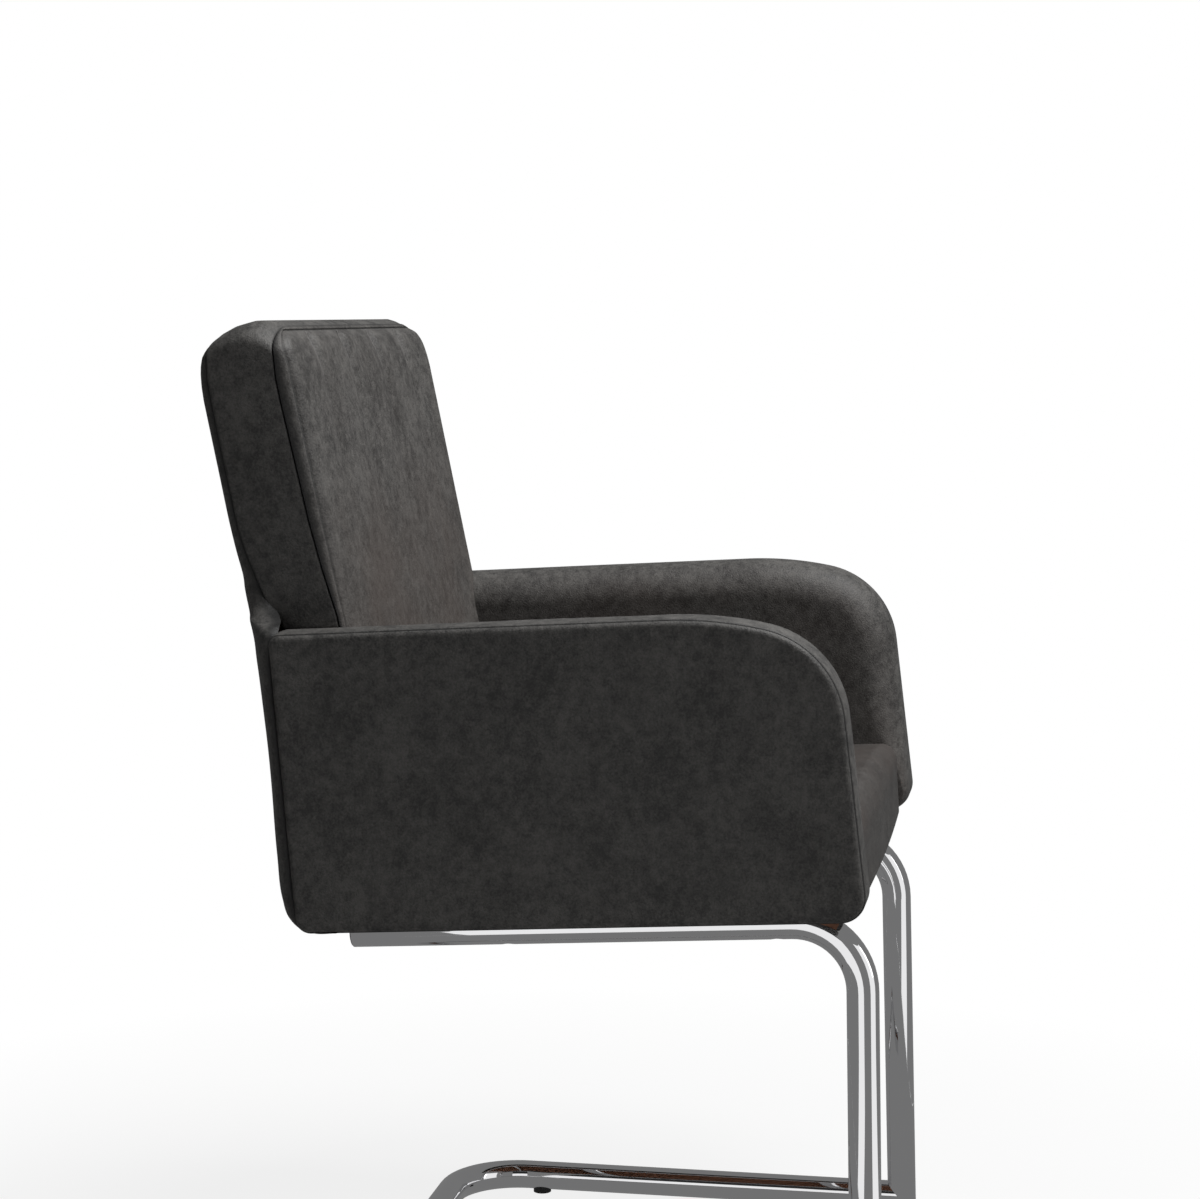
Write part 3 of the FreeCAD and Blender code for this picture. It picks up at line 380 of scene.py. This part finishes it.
def arm_sleeve(name, side):
    """Rings from the outer seam over the crown and down the inner face, then in to its middle.

    Each ring is the arm's outline moved out by its rise. The rise climbs from the seam to
    the crown, then drops round a quarter circle into the inner face. The hidden rear and
    underside take only a share of that drop.
    """
    near = ARM_OUTER - SEAM_SETBACK
    # Each station holds x, rise and painted shade: the shade is full under the outer seam and fades within a
    # few millimetres of it.
    stations = [(near, -SEAM_DEPTH - SEAM_TUCK, 1.0), (near, -SEAM_DEPTH - 1, 1.0)]
    for gap in np.concatenate([np.linspace(0, 6, 16), np.linspace(7, near - ARM_INNER - ARM_SHOULDER, 12)]):
        rise = ARM_CROWN * smooth_step(gap, 0, CROWN_REACH) - SEAM_DEPTH * quarter(1 - gap / LIP_WIDTH)
        stations.append((near - gap, rise, math.exp(-gap / SEAM_SHADE)))
    for angle in np.linspace(0, math.pi / 2, 28)[1:]:
        stations.append((ARM_INNER + ARM_SHOULDER * (1 - math.sin(angle)),
                         ARM_CROWN - ARM_SHOULDER * (1 - math.cos(angle)), 0.0))
    rings = []
    for x, rise, _ in stations:
        ring = arm_ring(side * x, 0)
        outward = ring - arm_ring(side * x, 1)
        loose = smooth_step(ring[:, 2], 25, 120) * (1 - smooth_step(outward[:, 1], 0.3, 0.9))
        share = np.ones(len(ring))
        if rise > 0:
            share = loose
        elif x < near - SEAM_REACH:
            share = loose + HIDDEN_FALL * (1 - loose)
        rings.append(ring + outward * (rise * share)[:, None])
    edge = rings[-1]
    centre = edge.mean(0)
    shares = np.concatenate([np.linspace(0.985, 0.85, 10), np.linspace(0.8, 0, 34)])
    rings += [centre + (edge - centre) * share for share in shares]
    points = np.stack(rings, 1)
    painted_shade = np.array([row[2] for row in stations] + [0] * len(shares))
    inner = smooth_step(np.arange(points.shape[1]), 12, 50)
    points[..., 2] += 0.4 * waves(points, 120, 21) * inner * smooth_step(points[..., 2], 60, 200)
    points[..., 0] += side * 0.5 * waves(points, 150, 23 + side) * inner
    warm = 0.4 * smooth_step(np.arange(points.shape[1]), 30, 56)
    return grid_mesh(name, points, leather, (side * (near + ARM_INNER) / 2, 0, 130), ring=True,
                     painted_shade=painted_shade[None], warm=warm[None])


for label, side in SIDES:
    dress(arm_panel(f"arm_outer_{label}", side * ARM_OUTER, side * (ARM_OUTER - SEAM_SETBACK), 3 + side),
          f"arm_outer_panel_{label}", f"arm_outer_foam_{label}")
    dress(arm_sleeve(f"arm_sleeve_{label}", side),
          f"arm_band_{label}", f"arm_inner_panel_{label}", f"arm_inner_foam_{label}")

# Back front panel
# One leather panel over the back's foam, with a flat welt along its rim and four pleats
# sewn in at the top. The back leans further than the shell: v runs back through its
# thickness and w climbs along it.
BACK_LEAN, BACK_Y, BACK_Z = math.radians(8.3), 140.1, 20.0
BACK_HALF, BACK_MIDDLE = 242.0, (0, 215, 250)
FRONT_TOP, FRONT_TOP_DEPTH, FRONT_CORNER = 504.5, 9.5, (46.0, 24.0)
TOP_ROLL_START, TOP_ROLL_HEIGHT, TOP_ROLL_DEPTH = 455.0, 57.0, 18.8
PANEL_FOOT, PANEL_SWELL, RIM_REACH = 45.0, 4.7, 11.0
WELT_WIDTH, WELT_HEIGHT, WELT_STEP = 4.5, 1.1, 0.9
PLEATS, PLEAT_DEPTH = (-153.0, -51.0, 51.0, 153.0), 5.6
PLEAT_WIDE_SIDE, PLEAT_TIGHT_SIDE = 13, 4.5
SQUEEZED_SEAM, SQUEEZE_TOP = 14, 300


def back_to_shell(points):
    """Shell millimetres of points (x, v, w) in the back's axes."""
    x, v, w = np.moveaxis(np.asarray(points, float), -1, 0)
    cos, sin = math.cos(BACK_LEAN), math.sin(BACK_LEAN)
    return np.stack([x, BACK_Y + v * cos + w * sin, BACK_Z - v * sin + w * cos], -1)


def front_seam(w):
    """Depth v of the front seam at a height w."""
    return np.interp(w, [253, 297, 339, 389, 439, 462, 478, 491, FRONT_TOP],
                     [5.3, 10, 12.7, 13.8, 15.2, 15.1, 13.4, 12.3, FRONT_TOP_DEPTH])


def half_width(w, top, corner):
    """Half width at a height w of an outline with top corners of this width and height."""
    wide, high = corner
    return BACK_HALF - wide * quarter((w - (top - high)) / high)


def back_front_panel():
    """Depth v over (x, w): rolled towards the rim, swollen inside it, pleats fading downwards.

    Between the arms the panel narrows along the round shoulder of each arm's sleeve. Each
    pleat is a bell curve across, wider on one side, times a fall that fades from the top.
    """
    climb = np.sin(np.linspace(0, 1, 60) * math.pi / 2)
    heights = np.concatenate([np.linspace(PANEL_FOOT, 236, 50), np.linspace(238, 275, 40),
                              np.linspace(277, TOP_ROLL_START, 90),
                              TOP_ROLL_START + (FRONT_TOP - TOP_ROLL_START) * climb[1:]])
    even = np.linspace(-1, 1, 401)
    across = 0.4 * np.sin(even * math.pi / 2) + 0.6 * even
    w, share = np.meshgrid(heights, across, indexing="ij")
    shell_z = BACK_Z + w * math.cos(BACK_LEAN)
    fall = np.clip(ARM_TOP + ARM_CROWN - shell_z, 0, ARM_SHOULDER)
    arm_face = ARM_INNER + ARM_SHOULDER - np.sqrt(ARM_SHOULDER ** 2 - (ARM_SHOULDER - fall) ** 2)
    limit = np.minimum(half_width(w, FRONT_TOP, FRONT_CORNER), arm_face + 0.5)
    squeeze = np.clip((BACK_HALF - limit) / (BACK_HALF - ARM_INNER), 0, 1) * (w < SQUEEZE_TOP)
    x = limit * share
    side_gap, top_gap = limit - np.abs(x), FRONT_TOP - w
    seam = front_seam(w) * (1 - squeeze) + SQUEEZED_SEAM * squeeze
    spine = TOP_ROLL_DEPTH * quarter((w - TOP_ROLL_START) / TOP_ROLL_HEIGHT)
    v = spine + (seam - spine) * quarter(1 - side_gap / RIM_REACH)
    top_rim = np.where(w > TOP_ROLL_START, np.hypot(top_gap, FRONT_TOP_DEPTH - spine), np.inf)
    rim = np.minimum(side_gap, top_rim)
    inside_welt = rim > WELT_WIDTH
    fade = np.exp(-top_gap / 55) + 0.16 * np.exp(-top_gap / 260)
    v -= PANEL_SWELL * smooth_step(rim, 2, 14)
    # Painted shade at the rim's seam and along the welt's inner edge.
    painted_shade = np.exp(-rim / 0.9) + 0.8 * np.exp(-((rim - WELT_WIDTH) / 0.7) ** 2)
    pleat_highlight = np.zeros_like(v)
    for pleat in PLEATS:
        lean = x - pleat - 2.5 * np.sin(top_gap / 60)
        fold = np.exp(-(lean / np.where(lean < 0, PLEAT_WIDE_SIDE, PLEAT_TIGHT_SIDE)) ** 2)
        v += PLEAT_DEPTH * fade * fold * smooth_step(rim, WELT_WIDTH, WELT_WIDTH + 9)
        # Painted shade down one side of each pleat, fading from the top, and a painted highlight along its
        # fold near the top.
        painted_shade += 0.25 * fade * np.exp(-((x - pleat + 2.5) / 1.6) ** 2) * inside_welt
        pleat_highlight += 0.5 * np.exp(-((x - pleat) / 1.3) ** 2) * np.exp(-(top_gap / 48) ** 2) * inside_welt
    v += WELT_HEIGHT * np.exp(-((rim - WELT_WIDTH) / 0.75) ** 2)
    v -= WELT_STEP * smooth_step(WELT_WIDTH - rim, 0, 1.2)
    body = np.stack([x, 0 * v, w], -1)
    v += (0.7 * waves(body * [1, 1, 0.35], 120, 5) + 0.25 * waves(body, 45, 6)) * smooth_step(rim, 6, 30)
    return grid_mesh("back_panel", back_to_shell(np.stack([x, v, w], -1)), leather, BACK_MIDDLE,
                     painted_shade=np.clip(painted_shade, 0, 1), warm=0.5 * (1 - smooth_step(w, 250, 400)) + 0.1, pleat_highlight=pleat_highlight)


dress(back_front_panel(), "back_front_cover", "back_foam", "back_rear_pad")

# Back border
# Leather boxing strip round the back's sides and top, sewn to the front panel and to the
# rear cover, its feet tucked in at the arms' tops.
REAR_TOP, REAR_TOP_DEPTH, REAR_CORNER = 500.0, 70.0, (16.0, 11.0)
SHOULDER_Z, FOOT_DROP, FOOT_START, FOOT_SPAN = 264.3, 6.0, 5.3, 50
BORDER_WIDTH, BORDER_SWELL, BORDER_TUCK = 60, 1.2, 5.0
FOOT_TUCKS, FOOT_SHADES = [6, 6, 3], [1, 1, 1, 0.8, 0.4, 0.15]
SIDE_ROWS, CREST_ROWS = 90, 39


def rear_seam(w):
    """Depth v of the rear seam at a height w: it runs forward towards the arms."""
    return np.interp(w, [240, 258, 266, 279, 300, 320, 341, 429, 470, REAR_TOP],
                     [52, 56, 60, 64.8, 69, 73, 75.5, 75.7, 75, REAR_TOP_DEPTH])


def top_height(v):
    """Height w of the back's top at a depth v."""
    return np.interp(v, [FRONT_TOP_DEPTH, 16, 22.6, 31, 46, 57, 66, REAR_TOP_DEPTH],
                     [FRONT_TOP, 508.6, 511.4, 512.6, 511, 507.4, 502.9, REAR_TOP])


def back_border():
    """Strips of points up one side, round its corner and along the top, mirrored to the other.

    Each strip lies at a share of the way from the front seam to the rear one. The strips
    swell along a parabola and are tucked in at both seams.
    """
    arc = np.linspace(0, math.pi / 2, 26)[1:]
    shares = np.concatenate([[-1, -0.2], np.linspace(0, 0.06, 8), np.linspace(0.09, 0.91, 40),
                             np.linspace(0.94, 1, 8), [1.2, 2]])
    rows, painted_shade = [], []
    for share in shares:
        inside = min(max(share, 0), 1)
        wide, high = np.array(FRONT_CORNER) * (1 - inside) + np.array(REAR_CORNER) * inside
        gap = min(inside, 1 - inside) * BORDER_WIDTH
        tuck = BORDER_TUCK * max(-share, share - 1, 0) + SEAM_DEPTH * quarter(1 - gap / LIP_WIDTH)
        swell = BORDER_SWELL * 4 * inside * (1 - inside) - tuck
        high_v = FRONT_TOP_DEPTH + (REAR_TOP_DEPTH - FRONT_TOP_DEPTH) * inside
        top = float(top_height(high_v))
        foot_v = FOOT_START + FOOT_SPAN * inside
        foot = (SHOULDER_Z - FOOT_DROP - BACK_Z + foot_v * math.sin(BACK_LEAN)) / math.cos(BACK_LEAN)
        side_w = np.concatenate([[foot + 3, foot + 0.4, foot], np.linspace(foot + 0.5, foot + 6, 8),
                                 np.linspace(foot + 9, top - high, SIDE_ROWS)])
        tucked = 2 * quarter(1 - (side_w - foot) / 2.5)
        tucked[:3] += FOOT_TUCKS
        side_v = front_seam(side_w) * (1 - inside) + rear_seam(side_w) * inside
        side = np.column_stack([BACK_HALF + swell - tucked, side_v, side_w])
        corner = np.column_stack([BACK_HALF - wide + (wide + swell) * np.cos(arc),
                                  side_v[-1] + (high_v - side_v[-1]) * np.sin(arc) ** 2,
                                  top - high + (high + swell) * np.sin(arc)])
        flat = np.linspace(BACK_HALF - wide, 0, CREST_ROWS + 1)[1:]
        crest = np.column_stack([flat, np.full(CREST_ROWS, high_v), np.full(CREST_ROWS, top + swell)])
        half = np.vstack([side, corner, crest])
        rows.append(np.vstack([half, half[::-1][1:] * [-1, 1, 1]]))
        painted_shade.append(math.exp(-gap / SEAM_SHADE))
    points = np.stack(rows)
    painted_shade = np.array(painted_shade)[:, None]
    # Painted shade along both seams, and at the feet where the strip tucks in at the arms' tops.
    feet = np.zeros(points.shape[1])
    feet[:6] = FOOT_SHADES
    feet[-6:] = FOOT_SHADES[::-1]
    puff = 0.4 * waves(points, 130, 31) * (1 - painted_shade)
    points[..., 0] += puff * np.sign(points[..., 0]) * (np.abs(points[..., 0]) > 200)
    return grid_mesh("back_border", back_to_shell(points), leather, BACK_MIDDLE,
                     painted_shade=np.maximum(painted_shade, feet[None]))


dress(back_border(), "back_gusset", fill=0.8)

# Rear cover
# One leather panel from under the seat up to the back's top seam. Low down it spreads
# behind both arms, and over them it draws in to the width of the back.
BACK_THICK, REAR_CENTRE = 84.5, (0, 150, 250)
REAR_TUCK = [4.0, 2.5, 0.0]

# Low rows: the middle's (y, z), the side edge's (x, y, z) and the reach of the edge's curve.
# Shoulder rows give the middle by its height w, and upper rows hold only height and reach.
LOW_ROWS = [
    ((188, 4.4), (289.0, 188, 4.6), 20), ((212, 5.5), (289.0, 207, 5.0), 20),
    ((226, 10.5), (289.0, 216.5, 9.0), 24), ((234, 18.5), (289.2, 221.8, 17.5), 26),
    ((239, 33), (289.2, 224.2, 33), 30), ((243, 71), (289.2, 225.6, 71), 40),
    ((250, 161), (289.2, 228.4, 161), 85), ((256.3, 225), (289.0, 230.2, 222), 100),
    ((258.2, 244), (288.6, 230.2, 241), 98),
]
SHOULDER_ROWS = [
    (247, (288.0, 228.0, 251), 92), (257, (286.0, 226.0, 260), 80), (263, (279.0, 226.5, 265), 62),
    (270, (262.0, 230.0, 268.5), 40), (280, (247.0, 237.5, 277), 20), (290, (243.0, 244.5, 287), 16),
]
UPPER_ROWS, TOP_REACH = [(303, 20), (323, 15), (345, 12), (390, 12), (430, 12)], 12
ROLL_HEIGHTS = [455, 466, 477, 484, 491, REAR_TOP]
ROLL_DEPTHS = [BACK_THICK, 83.8, 82.3, 80.6, 77.6, REAR_TOP_DEPTH]
FLAT_HALF = 110


def flow(keys, count):
    """Smooth path through key rows: cubic between them, with slopes from their neighbours."""
    keys = np.array(keys, float)
    length = np.concatenate([[0], np.cumsum(np.linalg.norm(np.diff(keys[:, :5], axis=0), axis=1))])
    slopes = np.gradient(keys, length, axis=0)
    at = np.linspace(0, length[-1], count)
    i = np.clip(np.searchsorted(length, at, side="right") - 1, 0, len(keys) - 2)
    step = (length[i + 1] - length[i])[:, None]
    t = (at[:, None] - length[i][:, None]) / step
    return ((1 + 2 * t) * (1 - t) ** 2 * keys[i] + t * (1 - t) ** 2 * step * slopes[i]
            + t * t * (3 - 2 * t) * keys[i + 1] + t * t * (t - 1) * step * slopes[i + 1])


def rear_cover():
    """Rows from the underside to the top seam: flat in the middle, curved forward to the sides.

    Towards each side edge a row leaves the flat middle along a quarter circle stretched
    to the row's reach, and tucks in under the seam at its end.
    """
    def rear_middle(w, v=BACK_THICK):
        return back_to_shell((0, v, w))[1:]

    def seam_point(w, half):
        return back_to_shell((half, float(rear_seam(w)), w))

    keys = [(*middle, *edge, reach) for middle, edge, reach in LOW_ROWS]
    keys += [(*rear_middle(w), *edge, reach) for w, edge, reach in SHOULDER_ROWS]
    keys += [(*rear_middle(w), *seam_point(w, BACK_HALF), reach) for w, reach in UPPER_ROWS]
    low = flow(keys, 320)
    climb = np.sin(np.linspace(0, 1, 34)[1:] * math.pi / 2)
    heights = np.concatenate([np.linspace(430, 470, 20)[1:], 470 + (REAR_TOP - 470) * climb])
    depths = np.interp(heights, ROLL_HEIGHTS, ROLL_DEPTHS)
    halves = half_width(heights, REAR_TOP, REAR_CORNER)
    high = [(*rear_middle(w, v), *seam_point(w, half), TOP_REACH)
            for w, v, half in zip(heights, depths, halves)]
    rows = np.vstack([low, high])
    mid_y, mid_z, edge_x, edge_y, edge_z, reach = (rows[:, i][:, None] for i in range(6))
    near = np.concatenate([np.linspace(0, 3, 12), np.linspace(4, 30, 26), np.linspace(34, FLAT_HALF, 24)])
    half = np.concatenate([edge_x - near, (edge_x - FLAT_HALF) * np.linspace(0.96, 0, 22)], 1)
    gap = edge_x - half
    roll = quarter(1 - gap / reach)
    lip = SEAM_DEPTH * quarter(1 - gap / LIP_WIDTH)
    side = np.stack([half - lip, mid_y + (edge_y - mid_y) * roll - lip * 0.4,
                     mid_z + (edge_z - mid_z) * roll], -1)
    side = np.concatenate([side[:, :1] - REAR_TUCK, side], 1)
    points = np.concatenate([side, side[:, ::-1][:, 1:] * [-1, 1, 1]], 1)
    gaps = np.concatenate([gap[:, :1], gap], 1)
    gaps = np.concatenate([gaps, gaps[:, ::-1][:, 1:]], 1)
    top_gap = np.arange(len(rows))[::-1, None]
    # Painted shade along the side seams and under the top seam.
    painted_shade = np.exp(-gaps / SEAM_SHADE) + np.exp(-top_gap / 1.5)
    points[..., 1] += 0.5 * waves(points, 170, 41) * smooth_step(gaps, 3, 40)
    return grid_mesh("rear_panel", points, leather, REAR_CENTRE, painted_shade=np.clip(painted_shade, 0, 1))


dress(rear_cover(), "rear_cover", "rear_pad")

# Seat cushion
# Leather over moulded foam between the arms, crowned, with a tight nose at the front edge
# and a plain front turned under and stapled.
SEAT_HALF, SEAT_REAR, SEAT_FRONT, SEAT_SIDE = 224.6, 168.0, 251.0, 75.0
SEAT_CROWN, SEAT_BOW, SEAT_NOSE = 12.0, 3.0, 15.0
SEAT_EDGE_DROP, SEAT_EDGE_REACH = 5.0, 12.0
SEAT_FOOT, FOOT_RADIUS, TURN_UNDER, UNDERSIDE_Z = 8.0, 4.0, 16.0, 3.9
# Painted shade over the whole seat: its colour goes this share of the way to the seam shadow colour, and all
# the way at the side edges.
SEAT_SHADE = 0.38
TOP_ROWS, FRONT_ROWS, FOOT_ROWS = 110, 39, 7


def seat_cushion():
    """Rows from the back over the nose to under the front edge, crowned from side to side.

    The crown and bow are parabolas across, and the sides drop round a quarter circle.
    """
    arc = np.linspace(0, math.pi / 2, 30)[1:]
    foot = np.linspace(0, math.pi / 2, FOOT_ROWS + 1)[1:]
    y = np.concatenate([np.linspace(SEAT_REAR, -SEAT_FRONT + SEAT_NOSE, TOP_ROWS),
                        -SEAT_FRONT + SEAT_NOSE * (1 - np.sin(arc)), np.full(FRONT_ROWS, -SEAT_FRONT),
                        -SEAT_FRONT + FOOT_RADIUS * (1 - np.cos(foot)), [-SEAT_FRONT + TURN_UNDER]])
    z = np.concatenate([np.full(TOP_ROWS, SEAT_SIDE), SEAT_SIDE - SEAT_NOSE * (1 - np.cos(arc)),
                        np.linspace(SEAT_SIDE - SEAT_NOSE, SEAT_FOOT, FRONT_ROWS + 1)[1:],
                        SEAT_FOOT - FOOT_RADIUS * np.sin(foot), [UNDERSIDE_Z]])
    rise = np.concatenate([np.ones(TOP_ROWS), np.cos(arc), np.zeros(FRONT_ROWS + FOOT_ROWS + 1)])[:, None]
    share = np.sin(np.linspace(-1, 1, 201) * math.pi / 2)
    x = SEAT_HALF * share
    side_gap = SEAT_HALF - np.abs(x)
    edge = SEAT_EDGE_DROP * quarter(1 - side_gap / SEAT_EDGE_REACH)
    crown, bow = SEAT_CROWN * (1 - share ** 2) - edge, edge - SEAT_BOW * (1 - share ** 2)
    points = np.stack(np.broadcast_arrays(x[None], y[:, None] + bow[None] * (1 - rise),
                                          z[:, None] + crown[None] * rise), -1)
    soft = smooth_step(side_gap, 4, 40)[None]
    points[..., 2] += (1.0 * waves(points, 170, 9) + 0.3 * waves(points, 60, 10)) * rise * soft
    points[..., 1] += 0.5 * waves(points, 120, 11) * (1 - rise) * soft * smooth_step(z, 10, 30)[:, None]
    return grid_mesh("seat_cushion", points, leather, (0, -40, 20),
                     painted_shade=np.maximum(np.exp(-side_gap / 1.5), SEAT_SHADE)[None],
                     warm=0.25 + 0.65 * smooth_step(z, 45, 68)[:, None])


dress(seat_cushion(), "seat_cover", "seat_foam", "seat_front_foam", fill=0.6)

# Camera
# It stands at the sitter's right, a little in front, above seat height, and looks slightly
# down. Places are in metres from here on.
CAMERA_POINT = Vector((-2.5066, -0.4639, 0.9024))
CAMERA_TURN, CAMERA_DROP = math.radians(10.22), math.radians(5.94)
SENSOR_WIDTH, LENS_PIXELS, IMAGE_WIDTH = 36.0, 2764.9, 1200
scene = bpy.context.scene
camera_data = bpy.data.cameras.new("camera")
camera_data.sensor_width = SENSOR_WIDTH
camera_data.lens = LENS_PIXELS / IMAGE_WIDTH * SENSOR_WIDTH
camera = bpy.data.objects.new("camera", camera_data)
scene.collection.objects.link(camera)
forward = Vector((math.cos(CAMERA_DROP) * math.cos(CAMERA_TURN),
                  math.cos(CAMERA_DROP) * math.sin(CAMERA_TURN), -math.sin(CAMERA_DROP)))
camera.matrix_world = Matrix.Translation(CAMERA_POINT) @ forward.to_track_quat("-Z", "Y").to_matrix().to_4x4()
scene.camera = camera

# Room
# A studio that looks white to the camera, to metal and to glass, and gives everything
# else a weak even light.
ROOM_LIGHT = 0.062
scene.view_settings.view_transform = "Standard"
world = bpy.data.worlds.new("studio")
scene.world = world
world.use_nodes = True
nodes, link = world.node_tree.nodes, world.node_tree.links.new
path = nodes.new("ShaderNodeLightPath")
seen = path.outputs["Is Camera Ray"]
for ray in ("Is Glossy Ray", "Is Transmission Ray"):
    most = nodes.new("ShaderNodeMath")
    most.operation = "MAXIMUM"
    link(seen, most.inputs[0])
    link(path.outputs[ray], most.inputs[1])
    seen = most.outputs[0]
mix = nodes.new("ShaderNodeMix")
mix.data_type = "RGBA"
mix.inputs[6].default_value = (ROOM_LIGHT, ROOM_LIGHT, ROOM_LIGHT, 1)
mix.inputs[7].default_value = (1, 1, 1, 1)
link(seen, mix.inputs["Factor"])
link(mix.outputs[2], nodes["Background"].inputs["Color"])

# Floor
# Pale matt floor that keeps the chair's shadow. For the camera, and for metal beyond the
# middle, it turns to plain white with the distance from the chair.
FLOOR_HALF, FLOOR_Z = 9, -0.0004
WHITE_FLOOR = (("Is Camera Ray", 0.45, 1.1, 0.85), ("Is Glossy Ray", 0.72, 0.8, 0.0))
floor_mesh = bpy.data.meshes.new("floor")
floor_mesh.from_pydata([(x * FLOOR_HALF, y * FLOOR_HALF, FLOOR_Z)
                        for x, y in ((-1, -1), (1, -1), (1, 1), (-1, 1))], [], [(0, 1, 2, 3)])
floor = bpy.data.objects.new("floor", floor_mesh)
scene.collection.objects.link(floor)
floor_material, tree, shader = new_material("pale_floor")
nodes, link = tree.nodes, tree.links.new
floor_mesh.materials.append(floor_material)
shader.inputs["Base Color"].default_value = (0.5, 0.5, 0.5, 1)
shader.inputs["Roughness"].default_value = 1.0
shader.inputs["Specular IOR Level"].default_value = 0.0
path = nodes.new("ShaderNodeLightPath")
place = nodes.new("ShaderNodeTexCoord")
distance = nodes.new("ShaderNodeVectorMath")
distance.operation = "LENGTH"
link(place.outputs["Object"], distance.inputs[0])
share = nodes.new("ShaderNodeMath")
share.operation = "ADD"
for socket, (ray, near, far, least) in zip(share.inputs, WHITE_FLOOR):
    reach = nodes.new("ShaderNodeMapRange")
    for label, number in (("From Min", near), ("From Max", far), ("To Min", least), ("To Max", 1.0)):
        reach.inputs[label].default_value = number
    link(distance.outputs["Value"], reach.inputs["Value"])
    part = nodes.new("ShaderNodeMath")
    part.operation = "MULTIPLY"
    link(reach.outputs["Result"], part.inputs[0])
    link(path.outputs[ray], part.inputs[1])
    link(part.outputs[0], socket)
white = nodes.new("ShaderNodeEmission")
blend = nodes.new("ShaderNodeMixShader")
link(share.outputs[0], blend.inputs["Fac"])
link(shader.outputs["BSDF"], blend.inputs[1])
link(white.outputs["Emission"], blend.inputs[2])
link(blend.outputs["Shader"], nodes["Material Output"].inputs["Surface"])

# Cards
# Grey and dark studio cards round the chair that only polished metal mirrors. Two gaps
# between them, given in degrees, show it the white room as crisp bright strips.
CARD_RADIUS, CARD_HEIGHT, FLOOR_CARD_RADIUS, FLOOR_CARD_Z = 1.7, 2.6, 0.75, 0.0003
GREY, DARK = 0.20, 0.025
CAMERA_GAP, FRONT_GAP = (165, 199.5), (239, 273)
DARK_CARD_FOOT, FRONT_CARD_FOOT, CEILING_HALF = 0.7, 1.3, 2


def card(name, low_row, high_row, value):
    """Card between two rows of points, of one even brightness, that only mirrors show."""
    mesh = bpy.data.meshes.new(name)
    count = len(low_row)
    mesh.from_pydata(low_row + high_row, [], [(i, i + 1, count + i + 1, count + i) for i in range(count - 1)])
    material, tree, _ = new_material(name)
    glow = tree.nodes.new("ShaderNodeEmission")
    glow.inputs["Color"].default_value = (value, value, value, 1)
    tree.links.new(glow.outputs["Emission"], tree.nodes["Material Output"].inputs["Surface"])
    mesh.materials.append(material)
    piece = bpy.data.objects.new(name, mesh)
    scene.collection.objects.link(piece)
    piece.visible_camera = piece.visible_diffuse = piece.visible_shadow = False
    piece.visible_transmission = False


def arc_row(start, end, radius, z):
    """Points of an arc round the chair between two angles in degrees."""
    return [(radius * math.cos(a), radius * math.sin(a), z) for a in np.radians(np.linspace(start, end, 24))]


def floor_card(name, start, end, near, far):
    """Grey card lying on the floor between two angles and two radii."""
    card(name, arc_row(start, end, near, FLOOR_CARD_Z), arc_row(start, end, far, FLOOR_CARD_Z), GREY)


def upright_card(name, start, end, foot, value):
    """Card bent round the chair between two angles, from its foot up to the ceiling."""
    card(name, arc_row(start, end, CARD_RADIUS, foot), arc_row(start, end, CARD_RADIUS, CARD_HEIGHT), value)


floor_card("floor_card_middle", 0, 360, 0.0, FLOOR_CARD_RADIUS)
floor_card("floor_card_rear", FRONT_GAP[1] - 360, CAMERA_GAP[0], FLOOR_CARD_RADIUS, CARD_RADIUS)
floor_card("floor_card_corner", CAMERA_GAP[1], FRONT_GAP[0], FLOOR_CARD_RADIUS, CARD_RADIUS)
upright_card("grey_card_rear", FRONT_GAP[1] - 360, CAMERA_GAP[0], 0.0, GREY)
upright_card("grey_card_corner", CAMERA_GAP[1], FRONT_GAP[0], 0.0, GREY)
upright_card("dark_card", *CAMERA_GAP, DARK_CARD_FOOT, DARK)
upright_card("grey_card_front", *FRONT_GAP, FRONT_CARD_FOOT, GREY)
ceiling_rows = [[(x * CEILING_HALF, y * CEILING_HALF, CARD_HEIGHT) for x in (-1, 1)] for y in (-1, 1)]
card("grey_ceiling", *ceiling_rows, GREY)


# Lamps
# A large soft key lamp high in front. Three weak soft ones, in front, by the camera and
# behind, open the shadows.
def softbox(name, place, target, size, power):
    """Rectangular lamp aimed at a point."""
    data = bpy.data.lights.new(name, "AREA")
    data.shape = "RECTANGLE"
    data.size, data.size_y = size
    data.energy = power
    lamp = bpy.data.objects.new(name, data)
    scene.collection.objects.link(lamp)
    aim = (Vector(target) - Vector(place)).to_track_quat("-Z", "Y")
    lamp.matrix_world = Matrix.Translation(place) @ aim.to_matrix().to_4x4()


softbox("key_box", (-0.1, -1.25, 3.1), (0, 0, 0.55), (1.6, 1.2), 145)
softbox("front_box", (0.5, -2.9, 1.2), (0, 0, 0.5), (1.4, 1.4), 8)
softbox("camera_box", (-2.2, -1.9, 1.4), (0, 0, 0.5), (0.6, 2.0), 3)
softbox("rear_box", (-1.8, 1.9, 1.6), (0, 0, 0.5), (0.6, 2.0), 3)
